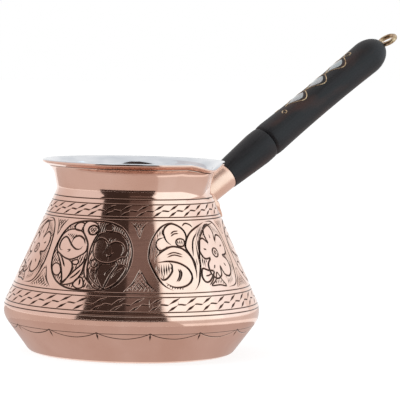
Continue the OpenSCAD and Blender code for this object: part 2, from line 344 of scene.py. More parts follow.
@dataclass(frozen=True)
class MotherOfPearl(Finish):
    """Ground shell: grey-blue to pinkish layers in fine lines under a gloss."""

    name: str = "mother_of_pearl"
    layer_mm: float = 0.6
    patch_scale: float = 240.0
    roughness: float = 0.22
    coat: float = 0.6
    coat_roughness: float = 0.08

    def dress(self, tree: bpy.types.NodeTree, shader: bpy.types.Node) -> None:
        """Lays fine wavy lines of nacre over soft patches of colour.

        Args:
            tree: The material's node tree.
            shader: Its principled shader.
        """
        where = self.place(tree)
        layers = add_node(tree, "ShaderNodeTexWave",
                          {"Vector": where, "Scale": 0.3 / (self.layer_mm * MM), "Distortion": 5.0,
                           "Detail": 3.0, "Detail Scale": 2.0})
        patches = add_node(tree, "ShaderNodeTexNoise",
                           {"Vector": where, "Scale": self.patch_scale, "Detail": 2.0})
        lines = ramp(tree, layers.outputs["Fac"], [(0.1, "#565E63"), (0.5, "#858C8F"), (0.95, "#B4B9B8")])
        tint = ramp(tree, patches.outputs["Fac"], [(0.35, "#76868E"), (0.5, "#8F9394"), (0.65, "#94878B")])
        tree.links.new(mixed(tree, 0.5, lines, tint), shader.inputs["Base Color"])
        shader.inputs["Roughness"].default_value = self.roughness
        shader.inputs["Coat Weight"].default_value = self.coat
        shader.inputs["Coat Roughness"].default_value = self.coat_roughness


@dataclass(frozen=True)
class DrawnBrass(Finish):
    """Brass wire, drawn and handled: warm grey-gold with a few dark rubs."""

    name: str = "drawn_brass_wire"
    bright: str = "#CDB594"
    rubbed: str = "#8A6E52"
    roughness: float = 0.24
    rub_scale: float = 600.0
    rub_rough: float = 0.15

    def dress(self, tree: bpy.types.NodeTree, shader: bpy.types.Node) -> None:
        """Mottles the wire with rubbed tarnish.

        Args:
            tree: The material's node tree.
            shader: Its principled shader.
        """
        shader.inputs["Metallic"].default_value = 1.0
        rubs = add_node(tree, "ShaderNodeTexNoise",
                        {"Vector": self.place(tree), "Scale": self.rub_scale, "Detail": 4.0})
        colour = ramp(tree, rubs.outputs["Fac"], [(0.38, self.rubbed), (0.6, self.bright)])
        tree.links.new(colour, shader.inputs["Base Color"])
        rough = remapped(tree, rubs.outputs["Fac"], 0.3, 0.7, self.roughness + self.rub_rough,
                         self.roughness)
        tree.links.new(rough, shader.inputs["Roughness"])


# ---------------------------------------------------------------- pieces

def meshed(name: str, build: bmesh.types.BMesh) -> bpy.types.Mesh:
    """Turns a bmesh into a mesh and frees it.

    Args:
        name: The mesh's name.
        build: The bmesh.

    Returns:
        The mesh.
    """
    mesh = bpy.data.meshes.new(name)
    build.to_mesh(mesh)
    build.free()
    return mesh


def placed_object(name: str, data: bpy.types.ID) -> bpy.types.Object:
    """Puts a mesh, curve, lamp or camera into the scene as an object at the origin.

    Args:
        name: The object's name.
        data: What it shows.

    Returns:
        The object.
    """
    made = bpy.data.objects.new(name, data)
    bpy.context.scene.collection.objects.link(made)
    return made


def finished_piece(name: str, build: bmesh.types.BMesh, finish: Finish,
                   replaces: Sequence[str] = (), smooth: float = 30.0) -> bpy.types.Object:
    """Turns a bmesh in metres into a piece of the object.

    Args:
        name: The piece's name.
        build: The bmesh, which is freed.
        finish: Its finish.
        replaces: CAD nodes that it stands for.
        smooth: Edges sharper than this many degrees stay sharp.

    Returns:
        The piece's object.
    """
    for face in build.faces:
        face.smooth = True
    for edge in build.edges:
        edge.smooth = len(edge.link_faces) != 2 or edge.calc_face_angle(0.0) < math.radians(smooth)
    mesh = meshed(name, build)
    piece = placed_object(name, mesh)
    mesh.materials.append(finish.material())
    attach(piece, ROOT)
    if replaces:
        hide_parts(*replaces)
    log.info("%s: %d faces", name, len(mesh.polygons))
    return piece


def spun(lines: Sequence[Sequence[Point]], steps: int, start: float = 0.0) -> bmesh.types.BMesh:
    """Spins outlines of (radius, height) round Z.

    Args:
        lines: Outlines in millimetres, each spun into a skin.
        steps: Number of steps in the full turn.
        start: Angle of the first step, in radians.

    Returns:
        The skins as one bmesh in millimetres.
    """
    build = bmesh.new()
    turn = Matrix.Rotation(start, 3, "Z")
    for line in lines:
        verts = [build.verts.new(turn @ Vector((r, 0, z))) for r, z in line]
        edges = [build.edges.new(pair) for pair in zip(verts, verts[1:])]
        bmesh.ops.spin(build, geom=verts + edges, cent=(0, 0, 0), axis=(0, 0, 1), angle=math.tau,
                       steps=steps, use_merge=True)
    bmesh.ops.remove_doubles(build, verts=build.verts[:], dist=1e-4)
    return build


def outward(build: bmesh.types.BMesh) -> None:
    """Points every face outwards, after the doubles are merged."""
    bmesh.ops.recalc_face_normals(build, faces=build.faces[:])


def copied_node(node: str) -> bmesh.types.BMesh:
    """A CAD node's mesh as a merged bmesh, in metres.

    Args:
        node: The node's name.

    Returns:
        The bmesh.
    """
    build = bmesh.new()
    build.from_mesh(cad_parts[node].data)
    bmesh.ops.remove_doubles(build, verts=build.verts[:], dist=2e-6)
    bmesh.ops.dissolve_degenerate(build, edges=build.edges[:], dist=1e-6)
    outward(build)
    return build


def swept_wire(name: str, paths: Sequence[Sequence[Vector]], radius: float) -> bmesh.types.BMesh:
    """Round wires along smooth paths.

    Args:
        name: A name for the curve while it is made.
        paths: The paths' points, in metres.
        radius: The wire's radius in millimetres.

    Returns:
        The wires as a bmesh in metres.
    """
    curve = bpy.data.curves.new(name, "CURVE")
    curve.dimensions = "3D"
    curve.bevel_depth = radius * MM
    curve.bevel_resolution = 3
    curve.use_fill_caps = True
    for path in paths:
        spline = curve.splines.new("POLY")
        spline.points.add(len(path) - 1)
        for knot, place in zip(spline.points, path):
            knot.co = (*place, 1.0)
    holder = placed_object(name, curve)
    mesh = bpy.data.meshes.new_from_object(holder.evaluated_get(bpy.context.evaluated_depsgraph_get()))
    bpy.data.objects.remove(holder)
    bpy.data.curves.remove(curve)
    build = bmesh.new()
    build.from_mesh(mesh)
    bpy.data.meshes.remove(mesh)
    outward(build)
    return build


# ---------------------------------------------------------------- the pot's skin

@dataclass(frozen=True)
class Corner:
    """A corner of the sheet's outer line: its place, its rounding, and 1 if it stands out."""

    r: float
    z: float
    rounding: float = 0.0
    sign: int = 1


@dataclass
class SheetLine:
    """The outer line of the pot's sheet, from the middle of its foot to the lip."""

    height: float = 88.0
    rim_d: float = 83.6
    lip_d: float = 73.6
    lip_rise: float = 27.0
    neck_d: float = 69.8
    neck_z: float = 74.8
    belly_d: float = 120.0
    belly_z: float = 18.7
    foot_d: float = 92.2
    wall: float = 1.5
    tin: float = 0.3
    foot_round: float = 5.0
    belly_round: float = 10.0
    neck_round: float = 4.0
    lip_round: float = 7.0
    corners: list[Corner] = field(init=False)

    def __post_init__(self) -> None:
        """Works out the corners."""
        rise = math.radians(self.lip_rise)
        edge = (self.rim_d / 2 - self.wall / 2 * (1 - math.sin(rise)),
                self.height - self.wall / 2 * (1 + math.cos(rise)))
        lip_z = edge[1] - (edge[0] - self.lip_d / 2) * math.tan(rise)
        self.corners = [Corner(0, 0),
                        Corner(self.foot_d / 2, 0, self.foot_round),
                        Corner(self.belly_d / 2, self.belly_z, self.belly_round),
                        Corner(self.neck_d / 2, self.neck_z, self.neck_round, -1),
                        Corner(self.lip_d / 2, lip_z, self.lip_round, -1),
                        Corner(*edge)]

    def point(self, i: int) -> np.ndarray:
        """Place of corner i."""
        return np.array([self.corners[i].r, self.corners[i].z])

    def inward(self, i: int) -> np.ndarray:
        """Normal of the straight run from corner i, pointing into the pot."""
        run = self.point(i + 1) - self.point(i)
        return np.array([-run[1], run[0]]) / np.linalg.norm(run)

    def rounding(self, i: int, depth: float, steps: int) -> list[Point]:
        """Points of corner i's rounding.

        Args:
            i: The corner.
            depth: How far inside the outer skin they lie.
            steps: Number of steps in the rounding.

        Returns:
            The points as (radius, height).
        """
        corner = self.corners[i]
        back = self.point(i - 1) - self.point(i)
        on = self.point(i + 1) - self.point(i)
        back, on = back / np.linalg.norm(back), on / np.linalg.norm(on)
        half = math.acos(float(back @ on)) / 2
        middle = (back + on) / np.linalg.norm(back + on)
        centre = self.point(i) + middle * corner.rounding / math.sin(half)
        radius = corner.rounding - corner.sign * depth
        first, last = -corner.sign * self.inward(i - 1), -corner.sign * self.inward(i)
        a0 = math.atan2(first[1], first[0])
        sweep = (math.atan2(last[1], last[0]) - a0 + math.pi) % math.tau - math.pi
        angles = [a0 + sweep * k / steps for k in range(steps + 1)]
        return [(centre[0] + radius * math.cos(a), centre[1] + radius * math.sin(a)) for a in angles]

    def skin(self, depth: float, steps: int = 10) -> list[Point]:
        """The whole skin at a depth inside the outer one, from the axis to the lip's edge.

        Args:
            depth: The depth in millimetres.
            steps: Steps in each rounding.

        Returns:
            Points as (radius, height).
        """
        line = [(0.0, depth)]
        for i in range(1, 5):
            line += self.rounding(i, depth, steps)
        return line + [tuple(self.point(5) + depth * self.inward(4))]

    def lip_edge(self, steps: int = 8) -> list[Point]:
        """The half round that closes the sheet at the lip, without its ends.

        Args:
            steps: Steps in the half round.

        Returns:
            Points as (radius, height).
        """
        inner = self.inward(4)
        middle = self.point(5) + inner * self.wall / 2
        a0 = math.atan2(-inner[1], -inner[0])
        angles = [a0 + math.pi * k / steps for k in range(1, steps)]
        return [(middle[0] + self.wall / 2 * math.cos(a),
                 middle[1] + self.wall / 2 * math.sin(a)) for a in angles]


class ArcRun:
    """A line measured by its length, so that a length gives a place and a normal."""

    def __init__(self, line: Sequence[Point]) -> None:
        """Measures the line.

        Args:
            line: Points as (radius, height).
        """
        self.line = np.array(line)
        steps = np.linalg.norm(np.diff(self.line, axis=0), axis=1)
        self.length = np.concatenate([[0.0], np.cumsum(steps)])

    def at(self, length: np.ndarray) -> tuple[np.ndarray, np.ndarray]:
        """Radius and height at each length."""
        return (np.interp(length, self.length, self.line[:, 0]),
                np.interp(length, self.length, self.line[:, 1]))

    def normal(self, length: np.ndarray) -> tuple[np.ndarray, np.ndarray]:
        """The outward normal's radial and upward parts at each length.

        Args:
            length: Lengths along the line.

        Returns:
            The radial parts and the upward parts.
        """
        reach = 0.15
        r0, z0 = self.at(length - reach)
        r1, z1 = self.at(length + reach)
        run = np.hypot(r1 - r0, z1 - z0)
        return (z1 - z0) / run, -(r1 - r0) / run

    def length_at_height(self, z: float) -> float:
        """Length at which the line reaches a height."""
        return float(np.interp(z, self.line[1:, 1], self.length[1:]))


# ---------------------------------------------------------------- engraving

@dataclass
class Graver:
    """Cuts made on the unrolled skin, where x runs round the pot and y along its line."""

    width: float
    slope: float = 0.7
    step: float = 0.8
    cross: float = 52.0
    faintest: float = 0.004
    cuts: list[tuple[np.ndarray, np.ndarray]] = field(default_factory=list)

    def cut(self, points: Sequence[Point], size: float, taper: bool = True) -> None:
        """Cuts along straight pieces between points.

        Args:
            points: The stroke's points.
            size: Its full width where it is deepest.
            taper: True if it starts and ends in a point.
        """
        path = np.array(points, float)
        steps = np.linalg.norm(np.diff(path, axis=0), axis=1)
        run = np.concatenate([[0.0], np.cumsum(steps)])
        half = np.full(len(path), size / 2)
        if taper:
            part = run / run[-1]
            half = size / 2 * np.clip(np.minimum(part, 1 - part) * 5, 0, 1) ** 0.7
        for shift in (-self.width, 0.0, self.width):
            moved = path + (shift, 0)
            if moved[:, 0].max() > -1 and moved[:, 0].min() < self.width + 1:
                self.cuts.append((moved, half))

    def curve(self, points: Sequence[Point], size: float, taper: bool = True, closed: bool = False) -> None:
        """Cuts a smooth curve through points.

        Args:
            points: The points it passes.
            size: Its full width.
            taper: True if it starts and ends in a point.
            closed: True if it comes back to its start.
        """
        knots = [np.array(p, float) for p in points]
        if closed:
            knots = [knots[-1], *knots, knots[0], knots[1]]
        else:
            knots = [2 * knots[0] - knots[1], *knots, 2 * knots[-1] - knots[-2]]
        path = []
        for a, b, c, d in zip(knots, knots[1:], knots[2:], knots[3:]):
            pieces = max(2, int(np.linalg.norm(c - b) / self.step))
            for k in range(pieces):
                t = k / pieces
                path.append(0.5 * (2 * b + (c - a) * t + (2 * a - 5 * b + 4 * c - d) * t * t
                                   + (3 * b - a - 3 * c + d) * t ** 3))
        path.append(knots[-2])
        self.cut(path, size, taper and not closed)

    def hatch(self, outline: Sequence[Point], angle: float, gap: float, size: float,
              spared: Sequence[Sequence[Point]] = ()) -> None:
        """Fills an outline with parallel strokes.

        Args:
            outline: The closed outline's points.
            angle: Direction of the strokes in degrees.
            gap: Distance between strokes.
            size: Width of each stroke.
            spared: Closed outlines that the strokes keep out of.
        """
        turn = math.radians(angle)
        along = np.array([math.cos(turn), math.sin(turn)])
        across = np.array([-along[1], along[0]])

        def spans(shape: np.ndarray, height: float) -> list[tuple[float, float]]:
            """Where a line at this height lies inside a shape.

            Args:
                shape: The closed shape's points.
                height: The line's height across the strokes.

            Returns:
                The start and end of each stretch inside.
            """
            crossings = []
            for p, q in zip(shape, np.roll(shape, -1, axis=0)):
                hp, hq = p @ across - height, q @ across - height
                if hp * hq < 0:
                    crossings.append(float((p + (q - p) * hp / (hp - hq)) @ along))
            crossings.sort()
            return list(zip(crossings[::2], crossings[1::2]))

        shape = np.array(outline, float)
        holes = [np.array(hole, float) for hole in spared]
        level = shape @ across
        for height in np.arange(level.min() + gap / 2, level.max(), gap):
            left = spans(shape, height)
            for hole in holes:
                for low, high in spans(hole, height):
                    left = [part for a, b in left
                            for part in ((a, min(b, low)), (max(a, high), b)) if part[1] > part[0]]
            for a, b in left:
                if b - a > 2 * size:
                    ends = [along * t + across * height for t in (a + size / 2, (a + b) / 2, b - size / 2)]
                    self.cut(ends, size)

    def cross_hatch(self, outline: Sequence[Point], gap: float, size: float) -> None:
        """Fills an outline with strokes both ways."""
        self.hatch(outline, self.cross, gap, size)
        self.hatch(outline, -self.cross, gap, size)

    def ring(self, y: float, size: float) -> None:
        """Cuts a line all round the pot."""
        self.cut([(-2, y), (self.width + 2, y)], size, taper=False)

    def depth(self, places: np.ndarray) -> np.ndarray:
        """How deep the cuts are at each place, in millimetres.

        Args:
            places: Points on the unrolled skin.

        Returns:
            One depth for each point.
        """
        deep = np.zeros(len(places))
        for path, half in self.cuts:
            low, high = path.min(axis=0) - 1, path.max(axis=0) + 1
            near = np.where(np.all((places > low) & (places < high), axis=1))[0]
            spots = places[near]
            for a, b, wa, wb in zip(path, path[1:], half, half[1:]):
                run = b - a
                t = np.clip(((spots - a) @ run) / max(run @ run, 1e-9), 0, 1)
                away = np.linalg.norm(spots - a - t[:, None] * run, axis=1)
                deep[near] = np.maximum(deep[near], self.slope * (wa + (wb - wa) * t - away))
        deep[deep < self.faintest] = 0.0
        return deep


@dataclass
class Ornament:
    """The engraved bands, drawn for one third of the way round and repeated three times.

    Heights are places along the skin's line, in millimetres from the middle of the foot.
    """

    run: ArcRun
    radius: float = 46.4
    repeats: int = 3
    ring_cut: float = 0.66
    bold_cut: float = 1.05
    mid_cut: float = 0.85
    fine_cut: float = 0.72
    rope_cut: float = 1.25
    wave_cut: float = 0.85
    edge_cut: float = 0.6
    ray_cut: float = 0.95
    hatch_gap: float = 1.05
    ground_gap: float = 1.05
    cross_gap: float = 1.3
    rope_a_count: int = 11
    rope_b_count: int = 14
    hem_count: int = 5
    hem_shift: float = 0.52
    hem_part: float = 0.75
    field_edge: float = 0.7
    gaps_at: tuple[float, float] = (1.5, 56.0)
    scroll_at: tuple[float, float] = (28.0, 24.0)
    leaf_at: tuple[float, float] = (74.0, 14.0)
    divider_at: tuple[float, float] = (89.5, 10.0)
    flower_at: tuple[float, float] = (104.5, 14.0)

    def __post_init__(self) -> None:
        """Makes the graver and the bands' heights."""
        self.graver = Graver(math.tau * self.radius / self.repeats)
        rings = {"neck_line": 72.0, "rope_a_top": 69.9, "rope_a_foot": 64.4, "field_top": 63.1,
                 "field_foot": 32.1, "rope_b_top": 30.4, "rope_b_foot": 24.1, "belly_line": 22.3,
                 "hem": 14.2}
        self.heights = {name: self.run.length_at_height(z) for name, z in rings.items()}

    def x(self, degrees: float) -> float:
        """Place round the band of an angle from the third's start."""
        return math.radians(degrees) * self.radius

    def draw(self) -> Graver:
        """Cuts everything and returns the graver.

        Returns:
            The graver, with every cut.
        """
        for name, y in self.heights.items():
            self.graver.ring(y, self.ring_cut * (self.hem_part if name == "hem" else 1.0))
        self.rope(self.heights["rope_a_foot"], self.heights["rope_a_top"], self.rope_a_count)
        self.rope(self.heights["rope_b_foot"], self.heights["rope_b_top"], self.rope_b_count)
        self.hem(self.hem_count)
        for degrees in self.gaps_at:
            self.gap(degrees)
        self.twin_scroll(*self.scroll_at)
        self.leaf_oval(*self.leaf_at)
        self.divider(*self.divider_at)
        self.flower_oval(*self.flower_at)
        return self.graver

    def rope(self, foot: float, top: float, count: int) -> None:
        """Two rows of slanted strokes with a wave between them.

        Args:
            foot: The band's lower line.
            top: Its upper line.
            count: Strokes in a third of the way round.
        """
        pitch = self.graver.width / count
        middle = (foot + top) / 2
        for k in range(count):
            x = k * pitch
            self.graver.cut([(x - 0.1 * pitch, foot + 0.05), (x + 0.22 * pitch, (foot + middle) / 2),
                             (x + 0.6 * pitch, middle + 0.1)], self.rope_cut)
            self.graver.curve([(x + 0.5 * pitch, middle), (x + 0.7 * pitch, middle + 0.12),
                               (x + 0.9 * pitch, middle - 0.12), (x + 1.06 * pitch, middle - 0.05)],
                               self.wave_cut)
            self.graver.cut([(x + 0.98 * pitch, middle - 0.15), (x + 1.4 * pitch, (middle + top) / 2 + 0.1),
                             (x + 1.8 * pitch, top - 0.05)], self.rope_cut)

    def hem(self, count: int) -> None:
        """Hanging scallops with short rays under the belly.

        Args:
            count: Scallops in a third of the way round.
        """
        pitch = self.graver.width / count
        top = self.heights["hem"]
        for k in range(count):
            x = (k + self.hem_shift) * pitch
            arc = [(x, top + 0.55), (x + 0.07 * pitch, top - 0.5), (x + 0.2 * pitch, top - 1.7),
                   (x + 0.38 * pitch, top - 2.6), (x + 0.58 * pitch, top - 2.75),
                   (x + 0.8 * pitch, top - 1.7), (x + 0.94 * pitch, top - 0.35), (x + pitch, top + 0.55)]
            self.graver.curve(arc, self.edge_cut, taper=False)
            self.graver.cut([(x, top + 0.7), (x + 0.1, top - 1.4), (x + 0.25, top - 4.3)], self.ray_cut)

    def gap(self, degrees: float) -> None:
        """The cross-hatched wedges above and below, between two medallions.

        Args:
            degrees: The wedges' middle, from the third's start.
        """
        x = self.x(degrees)
        top, foot = self.heights["field_top"] - 0.5, self.heights["field_foot"] + 0.5
        upper = [(x - 4.4, top), (x + 4.4, top), (x + 1.6, top - 3.6), (x, top - 8.2), (x - 1.6, top - 3.6)]
        lower = [(x - 6.6, foot), (x - 3.0, foot + 4.2), (x, foot + 10.6), (x + 3.0, foot + 4.2),
                 (x + 6.6, foot)]
        for shape in (upper, lower):
            self.graver.cross_hatch(shape, self.cross_gap, self.fine_cut)
        for edge in ([upper[0], upper[4], upper[3]], upper[1:4], lower[:3], lower[2:]):
            self.graver.curve(edge, self.edge_cut)

    def placed(self, degrees: float, half_width: float) -> Placer:
        """A function that places a medallion's own coordinates, which run from -1 to 1 each way.

        Args:
            degrees: The medallion's middle.
            half_width: Half its width in degrees.

        Returns:
            The function, from points to places on the skin.
        """
        cx, half = self.x(degrees), self.x(half_width)
        low = self.heights["field_foot"] + self.field_edge
        high = self.heights["field_top"] - self.field_edge

        def place(points: Sequence[Point]) -> list[Point]:
            """Places points of the medallion."""
            return [(cx + half * u, (low + high) / 2 + (high - low) / 2 * v) for u, v in points]
        return place

    def twin_scroll(self, degrees: float, half_width: float) -> None:
        """Two curling leaves under a berry, with stems between them, in an oval.

        Args:
            degrees: Its middle, from the third's start.
            half_width: Half its width in degrees.
        """
        bold, mid, fine = self.bold_cut, self.mid_cut, self.fine_cut
        at = self.placed(degrees, half_width)
        oval = at([(0.0, 0.99), (-0.25, 0.98), (-0.5, 0.94), (-0.73, 0.83), (-0.9, 0.6), (-0.98, 0.33),
                   (-1.0, 0.04), (-0.97, -0.23), (-0.9, -0.45), (-0.75, -0.7), (-0.56, -0.87),
                   (-0.3, -0.98), (0.0, -1.0), (0.35, -0.98), (0.62, -0.86), (0.8, -0.63), (0.92, -0.35),
                   (0.98, -0.08), (0.99, 0.2), (0.93, 0.48), (0.77, 0.78), (0.52, 0.93), (0.25, 0.98)])
        left_head = at([(-0.93, 0.1), (-0.95, 0.35), (-0.88, 0.56), (-0.72, 0.7), (-0.51, 0.72),
                        (-0.31, 0.66), (-0.19, 0.5), (-0.1, 0.32), (-0.09, 0.12), (-0.19, 0.0),
                        (-0.35, -0.11), (-0.48, -0.15), (-0.61, -0.12), (-0.78, -0.02)])
        left_leaf = at([(-0.9, 0.03), (-0.78, -0.14), (-0.68, -0.31), (-0.6, -0.5), (-0.54, -0.7),
                        (-0.51, -0.86), (-0.4, -0.66), (-0.35, -0.46), (-0.37, -0.28), (-0.49, -0.16),
                        (-0.65, -0.1)])
        left_bud = at([(-0.9, -0.38), (-0.84, -0.29), (-0.73, -0.31), (-0.64, -0.43), (-0.62, -0.55),
                       (-0.68, -0.63), (-0.77, -0.62), (-0.86, -0.52)])
        small_bud = at([(-0.39, -0.2), (-0.28, -0.14), (-0.22, -0.2), (-0.25, -0.28), (-0.35, -0.28)])
        stems = at([(-0.08, -0.14), (-0.14, -0.28), (-0.29, -0.48), (-0.42, -0.7), (-0.53, -0.88),
                    (-0.36, -0.86), (-0.22, -0.78), (-0.12, -0.6), (-0.08, -0.42)])
        top_bud = at([(-0.54, 0.72), (-0.57, 0.82), (-0.51, 0.9), (-0.4, 0.93), (-0.3, 0.89), (-0.33, 0.78),
                      (-0.36, 0.69)])
        low_bud = at([(-0.24, -0.86), (-0.16, -0.68), (-0.08, -0.64), (-0.02, -0.74), (0.0, -0.9),
                      (-0.12, -0.96)])
        column = at([(-0.2, 0.98), (-0.29, 0.9), (-0.32, 0.8), (-0.28, 0.66), (-0.18, 0.52), (-0.09, 0.34),
                     (-0.06, 0.1), (-0.04, -0.1), (-0.06, -0.3), (-0.05, -0.45), (0.0, -0.62),
                     (0.08, -0.74), (0.16, -0.82), (0.06, -0.6), (0.02, -0.42), (0.01, -0.2), (0.0, 0.1),
                     (0.03, 0.34), (0.09, 0.54), (0.15, 0.7), (0.1, 0.86), (0.0, 0.95)])
        right_head = at([(0.16, 0.6), (0.27, 0.66), (0.45, 0.7), (0.65, 0.67), (0.8, 0.55), (0.89, 0.38),
                         (0.91, 0.14), (0.85, -0.03), (0.76, -0.03), (0.65, -0.12), (0.52, -0.19),
                         (0.39, -0.2), (0.25, -0.16), (0.13, -0.04), (0.07, 0.14), (0.08, 0.36)])
        right_leaf = at([(0.33, -0.23), (0.25, -0.4), (0.24, -0.57), (0.31, -0.76), (0.41, -0.93),
                         (0.48, -0.76), (0.56, -0.5), (0.66, -0.3), (0.66, -0.16), (0.5, -0.21)])
        outer_leaf = at([(0.71, -0.24), (0.57, -0.46), (0.49, -0.68), (0.44, -0.94), (0.64, -0.8),
                         (0.79, -0.56), (0.87, -0.31)])
        curl = at([(0.22, -0.2), (0.15, -0.1), (0.08, -0.18), (0.1, -0.31), (0.18, -0.34), (0.22, -0.28)])
        low_stem = at([(0.04, -0.4), (0.1, -0.6), (0.21, -0.76), (0.36, -0.92), (0.26, -0.94),
                       (0.16, -0.84), (0.06, -0.68)])
        right_bud = at([(0.32, 0.72), (0.29, 0.84), (0.38, 0.92), (0.5, 0.86), (0.5, 0.73)])
        motifs = [left_head, left_leaf, left_bud, small_bud, stems, top_bud, low_bud, column, right_head,
                  right_leaf, outer_leaf, curl, low_stem, right_bud]
        self.graver.curve(oval, bold, closed=True)
        for motif in motifs:
            self.graver.curve(motif, mid, closed=True)
        self.graver.hatch(oval, 78, self.ground_gap, fine, motifs)
        curve, hatch = self.graver.curve, self.graver.hatch
        curve(at([(-0.72, 0.1), (-0.83, 0.11), (-0.89, 0.23), (-0.87, 0.4), (-0.78, 0.49), (-0.68, 0.44),
                  (-0.58, 0.33), (-0.48, 0.22), (-0.36, 0.15), (-0.25, 0.17), (-0.21, 0.26)]), bold)
        curve(at([(-0.54, 0.3), (-0.53, 0.44), (-0.44, 0.53), (-0.32, 0.53), (-0.21, 0.44), (-0.15, 0.28)]),
              bold)
        hatch(at([(-0.78, 0.59), (-0.58, 0.63), (-0.36, 0.6), (-0.44, 0.54), (-0.54, 0.44), (-0.56, 0.36),
                  (-0.66, 0.46), (-0.75, 0.52)]), 62, self.hatch_gap, fine)
        curve(at([(-0.64, 0.12), (-0.52, 0.12), (-0.6, 0.05)]), fine)
        curve(at([(-0.82, 0.02), (-0.66, -0.18), (-0.54, -0.4)]), mid)
        curve(at([(-0.12, -0.4), (-0.21, -0.56), (-0.35, -0.71)]), mid)
        curve(at([(-0.1, -0.66), (-0.09, -0.78), (-0.1, -0.88)]), mid)
        curve(at([(0.41, 0.2), (0.42, 0.34), (0.35, 0.45), (0.24, 0.5), (0.15, 0.46), (0.09, 0.34)]), bold)
        curve(at([(0.31, 0.07), (0.4, 0.22), (0.47, 0.34), (0.58, 0.41), (0.7, 0.39), (0.79, 0.3),
                  (0.8, 0.15), (0.74, 0.02)]), bold)
        hatch(at([(0.41, 0.42), (0.48, 0.56), (0.62, 0.54), (0.6, 0.45), (0.47, 0.38)]), 60, self.hatch_gap,
              fine)
        curve(at([(0.41, 0.05), (0.46, -0.02), (0.57, 0.11)]), mid)
        curve(at([(0.64, -0.24), (0.54, -0.36), (0.45, -0.48), (0.42, -0.56)]), mid)
        curve(at([(0.8, -0.32), (0.66, -0.46), (0.56, -0.64)]), fine)
        berry = at([(-0.02 + 0.135 * math.cos(a), 0.73 + 0.135 * math.sin(a))
                    for a in np.linspace(0, math.tau, 13)[:-1]])
        curve(berry, bold, closed=True)
        self.graver.cross_hatch(berry, self.hatch_gap, fine)

    def leaf_oval(self, degrees: float, half_width: float) -> None:
        """A leaf that curls over a bud, in half an oval that the divider closes.

        Args:
            degrees: Its middle, from the third's start.
            half_width: Half its width in degrees.
        """
        bold, mid, fine = self.bold_cut, self.mid_cut, self.fine_cut
        at = self.placed(degrees, half_width)
        curve, hatch = self.graver.curve, self.graver.hatch
        outline = [(0.3, 0.99), (0.0, 0.96), (-0.32, 0.86), (-0.6, 0.67), (-0.8, 0.44), (-0.92, 0.18),
                   (-0.94, -0.07), (-0.87, -0.26), (-0.74, -0.48), (-0.6, -0.68), (-0.4, -0.85),
                   (-0.1, -0.98)]
        curve(at(outline), bold)
        head = at([(0.06, 0.32), (-0.14, 0.43), (-0.23, 0.57), (-0.25, 0.73), (-0.08, 0.89), (0.2, 0.95),
                   (0.52, 0.87), (0.74, 0.73), (0.79, 0.56), (0.7, 0.42), (0.58, 0.24)])
        side_leaf = at([(-0.24, 0.56), (-0.48, 0.51), (-0.6, 0.42), (-0.62, 0.29), (-0.5, 0.18),
                        (-0.3, 0.22), (-0.12, 0.32)])
        big_leaf = at([(-0.76, -0.18), (-0.64, 0.0), (-0.36, 0.18), (0.02, 0.29), (0.42, 0.25), (0.7, 0.1),
                       (0.86, -0.1), (0.9, -0.42), (0.84, -0.66), (0.6, -0.82), (0.2, -0.88),
                       (-0.12, -0.82), (-0.34, -0.74), (-0.3, -0.62), (-0.14, -0.46), (-0.07, -0.3),
                       (-0.16, -0.16), (-0.5, -0.15)])
        curve(head, bold)
        curve(side_leaf, mid)
        curve(big_leaf[:9], bold)
        curve(at([(-0.76, -0.18), (-0.5, -0.15), (-0.16, -0.13), (0.21, -0.18), (0.52, -0.31),
                  (0.66, -0.48), (0.66, -0.63), (0.48, -0.79), (0.2, -0.87), (-0.12, -0.86),
                  (-0.42, -0.72)]), bold)
        curve(at([(-0.16, -0.15), (-0.05, -0.29), (-0.13, -0.46), (-0.32, -0.62), (-0.48, -0.66),
                  (-0.58, -0.57)]), bold)
        hatch(at([(-0.76, -0.2), (-0.5, -0.17), (-0.18, -0.16), (-0.07, -0.3), (-0.15, -0.46),
                  (-0.33, -0.6), (-0.5, -0.64), (-0.72, -0.46)]), 88, self.hatch_gap, mid)
        hatch(at([*outline[:7], (-0.78, -0.16), (-0.5, 0.12), (0.3, 0.7), (0.3, 0.9)]), 82, self.ground_gap,
              fine, [head, side_leaf, big_leaf])
        hatch(at([(-0.52, -0.74), (-0.3, -0.76), (0.2, -0.88), (0.5, -0.82), (0.2, -0.97), (-0.2, -0.96)]),
              72, self.hatch_gap, fine)
        notch = at([(0.3, 0.32), (0.25, 0.42), (0.34, 0.5), (0.54, 0.51), (0.66, 0.44), (0.56, 0.3)])
        curve(notch, mid, closed=True)
        hatch(notch, 90, self.hatch_gap, fine)
        for drop in (0.0, 0.07):
            curve(at([(0.05, 0.64 - drop), (0.2, 0.72 - drop), (0.46, 0.74 - drop)]), fine)
            curve(at([(-0.24, 0.05 - drop), (0.08, 0.12 - drop), (0.46, 0.05 - drop)]), fine)
            curve(at([(0.14 + drop, -0.34), (0.2 + drop, -0.46), (0.12 + drop, -0.62), (drop, -0.73)]), mid)
        curve(at([(0.68, 0.86), (0.86, 0.95), (1.1, 0.92), (1.26, 0.82)]), mid)

    def divider(self, degrees: float, half_width: float) -> None:
        """The plain band that swings between the leaf and the flower.

        Args:
            degrees: Its middle, from the third's start.
            half_width: Half its width in degrees.
        """
        at = self.placed(degrees, half_width)
        self.graver.curve(at([(1.35, 0.97), (0.66, 0.86), (0.06, 0.73), (-0.36, 0.56), (-0.6, 0.36),
                              (-0.62, 0.22), (-0.4, 0.0), (-0.24, -0.21), (-0.28, -0.45)]), self.bold_cut)
        self.graver.curve(at([(0.42, 0.68), (0.02, 0.48), (-0.16, 0.26), (-0.26, -0.02)]), self.mid_cut)
        self.graver.curve(at([(2.4, 0.94), (1.4, 0.84), (0.86, 0.67), (0.52, 0.48), (0.3, 0.2), (0.16, 0.0),
                              (0.06, -0.28), (-0.1, -0.52), (-0.26, -0.74), (-0.5, -0.92), (-0.66, -0.98)]),
                              self.bold_cut)

